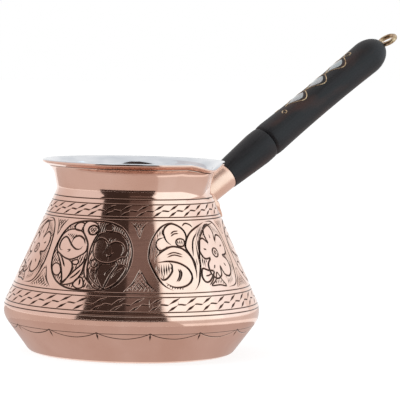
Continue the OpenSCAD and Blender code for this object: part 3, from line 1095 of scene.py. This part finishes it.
    def flower_oval(self, degrees: float, half_width: float) -> None:
        """A five-petalled flower over a small leaf.

        Args:
            degrees: Its middle, from the third's start.
            half_width: Half its width in degrees.
        """
        bold, mid, fine = self.bold_cut, self.mid_cut, self.fine_cut
        at = self.placed(degrees, half_width)
        curve, hatch = self.graver.curve, self.graver.hatch
        bloom = []
        for turn in (94, 166, 238, 310, 382):
            lean = math.radians(turn)
            petal = [(0.43, -0.29), (0.7, -0.37), (0.93, -0.22), (1.0, 0.0), (0.93, 0.22), (0.7, 0.37),
                     (0.43, 0.29)]
            bloom += [(a * math.cos(lean) - b * math.sin(lean), a * math.sin(lean) + b * math.cos(lean))
                      for a, b in petal]
            vein = [(t * math.cos(lean) * 0.9, 0.07 + t * math.sin(lean) * 0.74)
                    for t in (0.55, 0.64, 0.74)]
            curve(at(vein), mid)
        petals = at([(u * 0.9, 0.07 + v * 0.82) for u, v in bloom])
        curve(petals, bold, closed=True)
        heart = at([(0.18 * math.cos(a), 0.07 + 0.13 * math.sin(a))
                    for a in np.linspace(0, math.tau, 11)[:-1]])
        curve(heart, mid, closed=True)
        self.graver.cross_hatch(heart, self.hatch_gap, fine)
        leaf = at([(-1.02, -0.42), (-0.92, -0.36), (-0.7, -0.42), (-0.42, -0.46), (-0.58, -0.62),
                   (-0.8, -0.75), (-0.98, -0.74), (-1.07, -0.6)])
        curve(leaf, bold, closed=True)
        curve(at([(-0.92, -0.58), (-0.74, -0.57), (-0.56, -0.51)]), mid)
        curve(at([(-0.44, -0.5), (-0.58, -0.7), (-0.84, -0.86)]), mid)
        wedge = at([(-0.28, -0.5), (-0.46, -0.72), (-0.72, -0.86), (-0.3, -0.86), (0.02, -0.9),
                    (-0.12, -0.72)])
        curve(wedge, mid, closed=True)
        hatch(wedge, 80, self.ground_gap, fine, [petals])
        hatch(at([(-0.5, 0.93), (-0.86, 0.72), (-1.0, 0.4), (-1.12, 0.0), (-1.18, -0.3), (-0.8, -0.36),
                  (-0.5, 0.0), (-0.4, 0.5), (-0.2, 0.86)]), 84, self.ground_gap, fine, [petals, leaf])
        hatch(at([(-0.1, 0.96), (0.5, 0.94), (0.9, 0.6), (1.02, 0.1), (0.98, -0.4), (0.7, -0.84),
                  (0.1, -0.94), (0.2, -0.5), (0.6, 0.0), (0.3, 0.6)]), 76, self.ground_gap, fine, [petals])
        curve(at([(-0.1, 0.97), (0.5, 0.95), (0.9, 0.62), (1.03, 0.1), (0.99, -0.4), (0.7, -0.85),
                  (0.1, -0.95)]), bold)


@dataclass
class Spout:
    """The pouring lip: the neck pressed out in a channel, with the rim dipped over it."""

    line: SheetLine
    turn: float = math.radians(-70.3)
    half_width: float = 13.6
    foot_half: float = 10.0
    foot_z: float = 71.0
    push: float = 3.2
    dip: float = 2.7
    crease: float = 0.26
    crease_power: float = 1.3
    swell_turn: float = 0.9
    dip_from: float = 0.35
    dip_power: float = 1.5

    def press(self, build: bmesh.types.BMesh) -> None:
        """Moves a spun skin's points in millimetres into the channel's form.

        Args:
            build: The skin, which is changed.
        """
        for vert in build.verts:
            x, y, z = vert.co
            if z < self.foot_z:
                continue
            radius = math.hypot(x, y)
            away = (math.atan2(y, x) - self.turn + math.pi) % math.tau - math.pi
            rise = min((z - self.foot_z) / (self.line.height - self.foot_z), 1.0)
            half = self.foot_half + (self.half_width - self.foot_half) * rise
            side = math.hypot(abs(away) * radius / half, self.crease)
            if side >= 1.0:
                continue
            fold = ((1 - side) / (1 - self.crease)) ** self.crease_power
            out = self.push * math.sin(math.pi * self.swell_turn * rise) * fold
            down = self.dip * max(0.0, (rise - self.dip_from) / (1 - self.dip_from)) ** self.dip_power * fold
            vert.co = ((radius + out) * x / radius, (radius + out) * y / radius, z - down)


@dataclass
class Pot:
    """The copper pot and its tin lining."""

    line: SheetLine = field(default_factory=SheetLine)
    steps: int = 240
    view_turn: float = math.radians(-126.0)
    third_start: float = math.radians(-52.0)
    engraved_from: float = 8.5
    engraved_to: float = 73.2
    fold_z: float = 85.3
    fold_half: float = 0.45
    fold_deep: float = 0.6
    dense_to: float = 26.0
    dense_lines: int = 20
    sparse_lines: int = 14
    full_dark: float = 0.3
    round_steps: int = 14
    tin_bed: float = 0.02
    tin_over: float = 0.1
    tin_under: float = 0.03
    tin_step: float = 1.4

    def __post_init__(self) -> None:
        """Measures the outer line."""
        self.spout = Spout(self.line)
        self.run = ArcRun(self.line.skin(0.0, 40))
        self.start = self.view_turn + self.third_start

    def grid(self, width: float, low: float, high: float) -> tuple[list[float], list[float]]:
        """Places of the straight lines that hold the engraved skin to its round form.

        Args:
            width: Width of the unrolled third.
            low: Its lowest place along the line.
            high: Its highest.

        Returns:
            The upright lines' places and the level lines' places.
        """
        columns = self.steps // Ornament.repeats
        upright = [width * k / columns for k in range(columns + 1)]
        dense_end = self.run.length_at_height(self.dense_to)
        level = [*np.linspace(low, dense_end, self.dense_lines),
                 *np.linspace(dense_end, high, self.sparse_lines)[1:]]
        return upright, level

    def engraved_third(self) -> bmesh.types.BMesh:
        """One third of the engraved skin, cut out of the unrolled sheet and rolled up.

        Returns:
            The third as a bmesh in millimetres, with the cuts' depth on a layer.
        """
        ornament = Ornament(self.run)
        graver = ornament.draw()
        low = self.run.length_at_height(self.engraved_from)
        high = self.run.length_at_height(self.engraved_to)
        upright, level = self.grid(graver.width, low, high)
        spots: list[Point] = []
        links: list[tuple[int, int]] = []

        def chain(path: Sequence[Point]) -> None:
            """Adds a run of points and the edges between them.

            Args:
                path: The run's points.
            """
            first = len(spots)
            spots.extend((float(p[0]), float(p[1])) for p in path)
            links.extend((first + k, first + k + 1) for k in range(len(path) - 1))

        for x in upright:
            chain([(x, low), (x, high)])
        for y in level:
            chain([(0.0, y), (graver.width, y)])
        for path, half in graver.cuts:
            ahead = np.gradient(path, axis=0)
            ahead /= np.maximum(np.linalg.norm(ahead, axis=1), 1e-9)[:, None]
            side = np.stack([-ahead[:, 1], ahead[:, 0]], axis=1) * half[:, None]
            for edge in (path, path + side, path - side):
                chain(edge)
        flat, _, faces, *_ = delaunay_2d_cdt([Vector(p) for p in spots], links, [], 0, 2e-4)
        places = np.array([(v.x, v.y) for v in flat])
        for limit, axis in ((0.0, 0), (graver.width, 0), (low, 1), (high, 1)):
            places[np.abs(places[:, axis] - limit) < 2e-3, axis] = limit
        return self.rolled(places, faces, graver, low, high)

    def rolled(self, places: np.ndarray, faces: Sequence[Sequence[int]], graver: Graver,
               low: float, high: float) -> bmesh.types.BMesh:
        """Rolls the unrolled third onto the pot.

        Args:
            places: The flat points.
            faces: The triangles between them.
            graver: The cuts, for their depth.
            low: Lowest place along the line.
            high: Highest place.

        Returns:
            The third in millimetres.
        """
        deep = graver.depth(places)
        edge = (places[:, 1] <= low) | (places[:, 1] >= high)
        deep[edge] = 0.0
        r, z = self.run.at(places[:, 1])
        out, up = self.run.normal(places[:, 1])
        turn = places[:, 0] / graver.width * math.tau / Ornament.repeats + self.start
        r, z = r - deep * out, z - deep * up
        build = bmesh.new()
        layer = build.verts.layers.float.new("cut_depth")
        verts = []
        for radius, angle, height, d in zip(r, turn, z, deep):
            vert = build.verts.new((radius * math.cos(angle), radius * math.sin(angle), height))
            vert[layer] = min(d / self.full_dark, 1.0)
            verts.append(vert)
        for face in faces:
            middle = places[list(face)].mean(axis=0)
            if 0 <= middle[0] <= graver.width and low <= middle[1] <= high:
                build.faces.new([verts[i] for i in face])
        loose = [v for v in build.verts if not v.link_faces]
        bmesh.ops.delete(build, geom=loose, context="VERTS")
        return build

    def copper(self) -> bpy.types.Object:
        """The engraved pot.

        Returns:
            The piece's object.
        """
        low, high = (self.run.length_at_height(z) for z in (self.engraved_from, self.engraved_to))
        lengths = self.run.length

        def part(first: float, last: float, gap: float) -> list[Point]:
            """Points of the outer line between two lengths.

            Args:
                first: The length that it starts at.
                last: The length that it ends at.
                gap: Longest step.

            Returns:
                Points as (radius, height).
            """
            count = max(2, int((last - first) / gap) + 1)
            r, z = self.run.at(np.linspace(first, last, count))
            return list(zip(r, z))
        foot = [(0.0, 0.0), *part(lengths[1] * 0.5, lengths[1], 12.0), *part(lengths[1], low, 0.7)[1:]]
        fold = self.run.length_at_height(self.fold_z)
        out, up = self.run.normal(np.array([fold]))
        r, z = self.run.at(np.array([fold]))
        bottom = (float(r[0] - self.fold_deep * out[0]), float(z[0] - self.fold_deep * up[0]))
        top = [*part(high, fold - self.fold_half, 0.8), bottom,
               *part(fold + self.fold_half, lengths[-1], 0.8), *self.line.lip_edge(),
               *self.line.skin(self.line.wall, self.round_steps)[::-1]]
        build = spun([foot, top], self.steps, self.start)
        layer = build.verts.layers.float.new("cut_depth")
        for vert in build.verts:
            if math.dist((math.hypot(vert.co.x, vert.co.y), vert.co.z), bottom) < 1e-3:
                vert[layer] = 1.0
        third = self.engraved_third()
        mesh = meshed("third", third)
        for k in range(Ornament.repeats):
            before = len(build.verts)
            build.from_mesh(mesh)
            build.verts.ensure_lookup_table()
            fresh = build.verts[before:]
            bmesh.ops.rotate(build, verts=fresh, cent=(0, 0, 0),
                             matrix=Matrix.Rotation(math.tau / Ornament.repeats * k, 3, "Z"))
        bpy.data.meshes.remove(mesh)
        bmesh.ops.remove_doubles(build, verts=build.verts[:], dist=1.5e-3)
        outward(build)
        self.spout.press(build)
        open_edges = sum(1 for e in build.edges if len(e.link_faces) != 2)
        log.info("open edges on the pot: %d", open_edges)
        bmesh.ops.scale(build, verts=build.verts[:], vec=(MM, MM, MM))
        piece = finished_piece("engraved_copper_pot", build, SpunCopper(), ["pot_body"], 40)
        self.true_normals(piece)
        return piece

    def true_normals(self, piece: bpy.types.Object) -> None:
        """Gives the uncut engraved skin the normals of the round form, so that it reflects cleanly.

        Args:
            piece: The engraved pot's object.
        """
        mesh = piece.data
        count = len(mesh.loops)
        normals = np.zeros(count * 3)
        mesh.corner_normals.foreach_get("vector", normals)
        normals = normals.reshape(-1, 3)
        corner = np.zeros(count, dtype=np.int32)
        mesh.loops.foreach_get("vertex_index", corner)
        where = np.zeros(len(mesh.vertices) * 3)
        mesh.vertices.foreach_get("co", where)
        where = where.reshape(-1, 3) / MM
        deep = np.zeros(len(mesh.vertices))
        mesh.attributes["cut_depth"].data.foreach_get("value", deep)
        radius = np.hypot(where[:, 0], where[:, 1])
        height = where[:, 2]
        line_r = np.interp(height, self.run.line[1:, 1], self.run.line[1:, 0])
        engraved = (height > self.engraved_from) & (height < self.engraved_to)
        on_skin = engraved & (np.abs(radius - line_r) < 0.02)
        length = np.interp(height, self.run.line[1:, 1], self.run.length[1:])
        out, up = self.run.normal(length)
        safe = np.maximum(radius, 1e-6)
        true = np.stack([where[:, 0] / safe * out, where[:, 1] / safe * out, up], axis=1)
        for face in mesh.polygons:
            ids = list(face.loop_indices)
            spots = corner[ids]
            if on_skin[spots].all() and deep[spots].max() <= 0:
                normals[ids] = true[spots]
            elif deep[spots].max() > 0:
                normals[ids] = face.normal
        mesh.normals_split_custom_set([tuple(n) for n in normals])

    def tin(self) -> bpy.types.Object:
        """The tin lining, from the lip's edge down to the floor.

        Returns:
            The piece's object.
        """
        inner = self.line.skin(self.line.wall - self.tin_bed, self.round_steps)
        face = self.line.skin(self.line.wall + self.line.tin / 2, self.round_steps)
        nose_r = self.line.wall / 2
        centre = self.line.point(5) + self.line.inward(4) * nose_r
        nose = [np.array(p) - centre for p in self.line.lip_edge()][::-1]
        nose = nose[:len(nose) * 2 // 3]
        cover = [tuple(centre + p * (1 + self.tin_over / nose_r)) for p in nose]
        under = [tuple(centre + p * (1 - self.tin_under / nose_r)) for p in nose]
        profile = [*face[:-1], *cover, *under[::-1], *inner[:-1][::-1]]
        dense: list[Point] = []
        for a, b in zip(profile, profile[1:]):
            pieces = max(1, int(math.dist(a, b) / self.tin_step))
            dense += [(a[0] + (b[0] - a[0]) * k / pieces,
                       a[1] + (b[1] - a[1]) * k / pieces) for k in range(pieces)]
        build = spun([[*dense, profile[-1]]], self.steps, self.start)
        outward(build)
        self.spout.press(build)
        bmesh.ops.scale(build, verts=build.verts[:], vec=(MM, MM, MM))
        return finished_piece("tin_coat", build, WipedTin(), ["tin_lining"], 60)

    def build(self) -> None:
        """Makes both pieces."""
        self.copper()
        self.tin()


# ---------------------------------------------------------------- handle

class Side(Enum):
    """The grip's two sides, each with the sign of its distances round from the grip's top."""

    NEAR = 1
    FAR = -1


@dataclass
class Handle:
    """The socket, the grip, its inlay and the screw eye, in a frame that runs along the grip."""

    tilt: float = 33.3
    mouth_x: float = 53.0
    mouth_z: float = 79.8
    grip_l: float = 114.4
    collar_foot_d: float = 13.4
    collar_d: float = 16.3
    collar_l: float = 28.6
    groove_d: float = 13.6
    groove_half: float = 0.8
    groove_edge: float = 0.12
    bead_l: float = 5.4
    land_drop: float = 0.3
    shoulder_l: float = 3.6
    hollow: float = 0.25
    grip_d: float = 16.4
    waist_d: float = 15.3
    swell_d: float = 16.4
    dome_l: float = 12.0
    leaf_count: int = 3
    leaf_start: float = 54.6
    leaf_pitch: float = 14.4
    leaf_l: float = 11.2
    leaf_w: float = 6.2
    leaf_point: float = 1.5
    leaf_thick: float = 0.8
    loop_w: float = 9.4
    loop_point: float = 1.6
    wire_r: float = 0.3
    wire_sunk: float = 0.14
    curl_r: float = 1.15
    curl_back: float = 3.5
    curl_out: float = 2.9
    eye_d: float = 10.4
    eye_wire: float = 2.3
    eye_sink: float = 0.4
    shank_l: float = 16.0
    eased_over: float = 50.0

    def __post_init__(self) -> None:
        """Places the handle's frame and measures the grip's outline."""
        lean = Matrix.Rotation(math.radians(90 - self.tilt), 4, "Y")
        self.place = (Matrix.Translation((self.mouth_x * MM, 0, self.mouth_z * MM)) @ lean
                      @ Matrix.Rotation(math.pi, 4, "Z") @ Matrix.Diagonal((MM, MM, MM, 1)))
        self.outline = self.grip_outline()
        self.wood = StainedWood(lean=math.radians(self.tilt))

    def grip_outline(self) -> list[Point]:
        """The grip's half outline from the socket's mouth to its end, as (radius, distance).

        Returns:
            The outline's points.
        """
        half, bead, edge = self.groove_half, self.bead_l, self.groove_edge
        land = (self.collar_d + 2 * self.grip_d) / 6 - self.land_drop
        swell_z = self.grip_l - self.dome_l
        line = [(self.collar_foot_d / 2 - 0.4, 0.0), (self.collar_foot_d / 2, 0.3)]
        start = self.collar_l - half - bead
        for k in range(1, 8):
            t = k / 8
            line.append((self.collar_foot_d / 2 + (self.collar_d - self.collar_foot_d) / 2 * t ** 0.9,
                         start * t))
        for k in range(9):
            t = k / 8
            line.append((land + (self.collar_d / 2 - land) * math.cos(math.pi / 2 * t),
                         start + bead * math.sin(math.pi / 2 * t)))
        line += [(self.groove_d / 2 + edge, self.collar_l - edge), (self.groove_d / 2, self.collar_l),
                 (self.groove_d / 2 + edge, self.collar_l + edge)]
        for k in range(7):
            t = k / 6
            line.append((land + (self.grip_d / 2 - land) * math.sin(math.pi / 2 * t),
                         self.collar_l + half + self.shoulder_l * (1 - math.cos(math.pi / 2 * t))))
        first, last = line[-1][1], swell_z
        for k in range(1, 24):
            t = k / 24
            waist = ((1 - t) ** 2 * self.grip_d / 2 + 2 * t * (1 - t) * (self.waist_d - self.hollow) / 2
                     + t * t * self.swell_d / 2)
            line.append((waist - self.hollow * math.sin(math.pi * t), first + (last - first) * t))
        for k in range(13):
            t = k / 12
            line.append((self.swell_d / 2 * math.cos(math.pi / 2 * t),
                         swell_z + self.dome_l * math.sin(math.pi / 2 * t)))
        return line

    def radius(self, along: float) -> float:
        """The grip's radius at a distance from the socket's mouth."""
        line = np.array(self.outline)
        return float(np.interp(along, line[:, 1], line[:, 0]))

    def on_grip(self, along: float, across: float, proud: float = 0.0) -> Vector:
        """A point on the grip's skin.

        Args:
            along: Distance from the socket's mouth.
            across: Distance round from the grip's top, positive towards the pouring lip.
            proud: Height over the skin.

        Returns:
            The place in the handle's frame, in millimetres.
        """
        radius = self.radius(along)
        turn = across / radius
        return Vector(((radius + proud) * math.cos(turn), (radius + proud) * math.sin(turn), along))

    def grip(self) -> None:
        """The turned wood."""
        build = spun([[(0.0, 0.0), *self.outline]], 96)
        outward(build)
        bmesh.ops.transform(build, matrix=self.place, verts=build.verts[:])
        finished_piece("turned_grip", build, self.wood, ["wood_grip"], 45)

    def leaves(self) -> None:
        """The pearl leaves, blunt towards the end of the grip and a hair proud of it."""
        for i in range(self.leaf_count):
            build = bmesh.new()
            bmesh.ops.create_grid(build, x_segments=24, y_segments=10, size=1.0)
            middle = self.leaf_start + i * self.leaf_pitch
            for vert in build.verts:
                u, v = vert.co.x, vert.co.y
                full = math.sin(math.pi * ((u + 1) / 2) ** self.leaf_point)
                rim = max(abs(v) if full > 0.02 else 1.0, abs(u))
                proud = 0.1 - 0.14 * max(0.0, (rim - 0.8) / 0.2) ** 2
                vert.co = self.on_grip(middle + u * self.leaf_l / 2, v * self.leaf_w / 2 * full, proud)
            bmesh.ops.remove_doubles(build, verts=build.verts[:], dist=1e-3)
            outward(build)
            if sum((f.normal.x for f in build.faces)) < 0:
                bmesh.ops.reverse_faces(build, faces=build.faces[:])
            bmesh.ops.solidify(build, geom=build.faces[:], thickness=self.leaf_thick)
            bmesh.ops.transform(build, matrix=self.place, verts=build.verts[:])
            finished_piece(f"pearl_leaf_inlay_{i + 1}", build, MotherOfPearl(),
                           [f"pearl_leaf_{i + 1}"], 60)

    def wire_paths(self, side: Side) -> list[list[Vector]]:
        """The wires' middle lines on one side of the grip, in the handle's frame.

        Args:
            side: The side of the grip.

        Returns:
            One list of points for each length of wire.
        """
        sign = side.value
        sunk = -self.wire_sunk
        start = self.leaf_start - self.leaf_pitch / 2
        paths = []
        for i in range(self.leaf_count):
            first = start + i * self.leaf_pitch
            path = []
            for k in range(25):
                t = k / 24
                across = max(self.loop_w / 2 * math.sin(math.pi * t ** self.loop_point), 0.02)
                path.append(self.on_grip(first + t * self.leaf_pitch, sign * across, sunk))
            paths.append(path)
        curl = [(start - self.curl_back + self.curl_r * math.cos(a),
                 self.curl_out + self.curl_r * math.sin(a))
                for a in np.linspace(math.radians(150), math.radians(-190), 20)]
        paths.append([self.on_grip(x, sign * y, sunk) for x, y in curl])
        end = start + self.leaf_count * self.leaf_pitch
        hook = [(end + t, y) for t, y in ((0, 0.1), (1.2, 0.9), (2.6, 1.5), (3.8, 1.4), (4.4, 0.7),
                                          (4.1, 0.1))]
        fine = ArcRun(hook)
        x, y = fine.at(np.linspace(0, fine.length[-1], 18))
        paths.append([self.on_grip(float(a), sign * float(b), sunk) for a, b in zip(x, y)])
        return paths

    def wires(self) -> None:
        """The brass wire let in on both sides."""
        for side, node in ((Side.NEAR, "wire_near_side"), (Side.FAR, "wire_far_side")):
            paths = [[self.place @ p for p in path] for path in self.wire_paths(side)]
            build = swept_wire(node, paths, self.wire_r)
            finished_piece(f"brass_{node}", build, DrawnBrass(), [node], 60)

    def eye(self) -> None:
        """The screw eye: a shank that is bent round into a ring."""
        ring_r = self.eye_d / 2 - self.eye_wire / 2
        centre = self.grip_l + self.eye_d / 2 - self.eye_wire * self.eye_sink
        path = [Vector((0, 0, self.grip_l - self.shank_l + k)) for k in range(0, 15, 2)]
        path += [Vector((0, 0.25, self.grip_l - 1.2))]
        path += [Vector((0, ring_r * math.sin(a), centre - ring_r * math.cos(a)))
                 for a in np.linspace(math.radians(14), math.radians(352), 44)]
        build = swept_wire("eye", [[self.place @ p for p in path]], self.eye_wire / 2)
        finished_piece("brass_screw_eye", build, DrawnBrass(roughness=0.16), ["screw_eye"], 60)

    def fittings(self) -> None:
        """Socket, saddle, rivets and nail, with the socket's and saddle's edges eased."""
        copper = SpunCopper(name="formed_copper_fitting", bright="#F0CDBC", warm="#E2B8A2", cuts=False,
                            roughness=0.28)
        for node, name, slot, finish, ease in (
                ("socket_tube", "copper_socket", "copper", copper, 0.25),
                ("saddle_plate", "copper_saddle", "copper", copper, 0.25),
                ("saddle_rivets", "copper_rivets", "rivet_copper", copper, 0.0),
                ("socket_nail", "brass_nail", "brass", DrawnBrass(), 0.0)):
            build = copied_node(node)
            if ease:
                edges = [e for e in build.edges
                         if len(e.link_faces) == 2 and e.calc_face_angle(0) > math.radians(self.eased_over)]
                bmesh.ops.bevel(build, geom=edges, offset=ease * MM, segments=2, profile=0.5,
                                affect="EDGES", material=-1, clamp_overlap=True)
            finished_piece(name, build, finish, [node], 35)

    def build(self) -> None:
        """Makes every piece of the handle."""
        self.grip()
        self.leaves()
        self.wires()
        self.eye()
        self.fittings()


# ---------------------------------------------------------------- studio

def seen_rays(tree: bpy.types.NodeTree) -> bpy.types.NodeSocket:
    """One for the camera's rays and for those that metal or glass sends on, zero for all others.

    Args:
        tree: The node tree.

    Returns:
        The socket that tells the rays apart.
    """
    path = add_node(tree, "ShaderNodeLightPath")
    mirrored = add_node(tree, "ShaderNodeMath", {0: path.outputs["Is Glossy Ray"],
                                                 1: path.outputs["Is Transmission Ray"]},
                                                 operation="MAXIMUM")
    return add_node(tree, "ShaderNodeMath", {0: path.outputs["Is Camera Ray"], 1: mirrored.outputs[0]},
                    operation="MAXIMUM").outputs[0]


@dataclass(frozen=True)
class Card:
    """A curved card round the pot, which only reflections see.

    Attributes:
        name: The card's name.
        turns: Its ends round the pot, in degrees to the right of the camera.
        heights: Its foot and top, in metres.
        shade: Its hex colour.
        strength: How bright it shines.
        radii: Its distance from the pot's axis at foot and top, in metres.
    """

    name: str
    turns: tuple[float, float]
    heights: tuple[float, float]
    shade: str
    strength: float = 1.0
    radii: tuple[float, float] = (0.9, 0.9)


@dataclass
class Studio:
    """The floor, the lamp, the cards that the copper and the tin mirror, and the camera."""

    view_turn: float = math.radians(-36.0)
    distance: float = 1175.9
    height: float = 143.2
    aim: tuple[float, float] = (30.4, 70.2)
    lens: float = 231.9
    roll: float = 0.020
    floor_half: float = 6.0
    floor_shade: str = "#F4F4F4"
    floor_glow: float = 1.16
    floor_glow_part: float = 0.7
    room_strength: float = 0.9
    lamp_place: tuple[float, float, float] = (-700, -500, 900)
    lamp_aim: tuple[float, float, float] = (20, 0, 60)
    lamp_size: float = 0.6
    lamp_power: float = 5.0
    cards: tuple[Card, ...] = (
        Card("dark_card_left", (-49, -6), (0.012, 3.5), "#3E3431"),
        Card("dark_card_right", (-6, 31), (0.012, 0.79), "#4C3F3B"),
        Card("brown_card", (-6, 31), (0.79, 0.905), "#857571"),
        Card("dark_card_over", (-6, 31), (0.905, 3.5), "#4C3F3B"),
        Card("dark_card_top", (-49, 31), (3.5, 3.5), "#4C3F3B", radii=(0.9, 0.3)),
        Card("rose_card_left", (-150, -49), (0.012, 1.5), "#E6E0E0", 1.05),
        Card("bright_card_right", (34, 88), (0.012, 1.2), "#E9FAFF", 1.55),
        Card("pale_card_right", (88, 130), (0.012, 1.2), "#E6F1F8", 1.45),
        Card("rose_card_under", (-180, 180), (0.001, 0.001), "#C9BAB6", radii=(0.0465, 0.09)),
        Card("rose_card_before", (-150, 34), (0.001, 0.001), "#D4C7C3", radii=(0.09, 0.6)),
        Card("pale_card_before", (34, 180), (0.001, 0.001), "#E2DCDB", radii=(0.12, 0.6)),
        Card("dark_card_before", (-49, 31), (0.003, 0.003), "#3E3230", radii=(0.25, 0.9)),
    )

    def turned(self, x: float, y: float, z: float) -> Vector:
        """A place given as right, away and up from the camera's side, in metres in the frame."""
        return (Matrix.Rotation(self.view_turn, 3, "Z") @ Vector((x, y, z))) * MM

    def camera(self) -> None:
        """The camera, level with the rim and a little above it."""
        data = bpy.data.cameras.new("camera")
        data.lens = self.lens
        data.sensor_width = 36.0
        data.clip_end = 20.0
        camera = placed_object("camera", data)
        place = self.turned(0, -self.distance, self.height)
        target = self.turned(self.aim[0], 0, self.aim[1])
        look = (target - place).to_track_quat("-Z", "Y").to_matrix().to_4x4()
        camera.matrix_world = Matrix.Translation(place) @ look @ Matrix.Rotation(self.roll, 4, "Z")
        bpy.context.scene.camera = camera

    def floor(self) -> None:
        """A white floor that keeps the pot's soft shadow."""
        build = bmesh.new()
        bmesh.ops.create_grid(build, x_segments=1, y_segments=1, size=self.floor_half)
        mesh = meshed("floor", build)
        floor = placed_object("floor", mesh)
        paint = bpy.data.materials.new("white_floor")
        tree = fresh_tree(paint)
        matt = add_node(tree, "ShaderNodeBsdfDiffuse", {"Color": linear(self.floor_shade)})
        glow = add_node(tree, "ShaderNodeEmission", {"Color": (1, 1, 1, 1), "Strength": self.floor_glow})
        part = add_node(tree, "ShaderNodeMath", {0: seen_rays(tree), 1: self.floor_glow_part},
                        operation="MULTIPLY").outputs[0]
        blend = add_node(tree, "ShaderNodeMixShader", {0: part, 1: matt.outputs[0], 2: glow.outputs[0]})
        add_node(tree, "ShaderNodeOutputMaterial", {"Surface": blend.outputs[0]})
        mesh.materials.append(paint)

    def stand(self, plan: Card) -> None:
        """Stands one card up.

        Args:
            plan: The card's place, shade and strength.
        """
        build = bmesh.new()
        first = self.view_turn + math.radians(plan.turns[0])
        ahead = Matrix.Rotation(first, 3, "Z") @ Vector((0, -1, 0))
        verts = [build.verts.new((ahead.x * r, ahead.y * r, z)) for r, z in zip(plan.radii, plan.heights)]
        edge = build.edges.new(verts)
        bmesh.ops.spin(build, geom=[*verts, edge], cent=(0, 0, 0), axis=(0, 0, 1),
                       angle=math.radians(plan.turns[1] - plan.turns[0]), steps=24)
        mesh = meshed(plan.name, build)
        card = placed_object(plan.name, mesh)
        paint = bpy.data.materials.new(plan.name)
        tree = fresh_tree(paint)
        plain = add_node(tree, "ShaderNodeEmission",
                         {"Color": linear(plan.shade), "Strength": plan.strength})
        add_node(tree, "ShaderNodeOutputMaterial", {"Surface": plain.outputs[0]})
        mesh.materials.append(paint)
        for rays in ("visible_camera", "visible_diffuse", "visible_shadow", "visible_transmission"):
            setattr(card, rays, False)

    def lamp(self) -> None:
        """A soft square lamp that points at the pot and isn't mirrored in it."""
        data = bpy.data.lights.new("key_lamp", "AREA")
        data.shape = "SQUARE"
        data.size = self.lamp_size
        data.energy = self.lamp_power
        lamp = placed_object("key_lamp", data)
        where = self.turned(*self.lamp_place)
        look = (self.turned(*self.lamp_aim) - where).to_track_quat("-Z", "Y").to_matrix().to_4x4()
        lamp.matrix_world = Matrix.Translation(where) @ look
        lamp.visible_glossy = False

    def world(self) -> None:
        """A pale room: white to the camera, a little softer on the object."""
        world = bpy.data.worlds.new("room")
        bpy.context.scene.world = world
        tree = fresh_tree(world)
        seen = seen_rays(tree)
        room = add_node(tree, "ShaderNodeBackground",
                        {"Color": (1, 1, 1, 1), "Strength": self.room_strength})
        white = add_node(tree, "ShaderNodeBackground", {"Color": (1, 1, 1, 1), "Strength": 1.0})
        both = add_node(tree, "ShaderNodeMixShader", {0: seen, 1: room.outputs[0], 2: white.outputs[0]})
        add_node(tree, "ShaderNodeOutputWorld", {"Surface": both.outputs[0]})

    def build(self) -> None:
        """Sets the scene up round the object."""
        self.world()
        self.floor()
        for plan in self.cards:
            self.stand(plan)
        self.lamp()
        self.camera()
        bpy.context.scene.view_settings.view_transform = "Standard"


def main() -> None:
    """Builds the object and its studio."""
    logging.basicConfig(level=logging.INFO, format="%(message)s")
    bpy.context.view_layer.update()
    Pot().build()
    Handle().build()
    Studio().build()


if __name__ == "__main__":
    main()
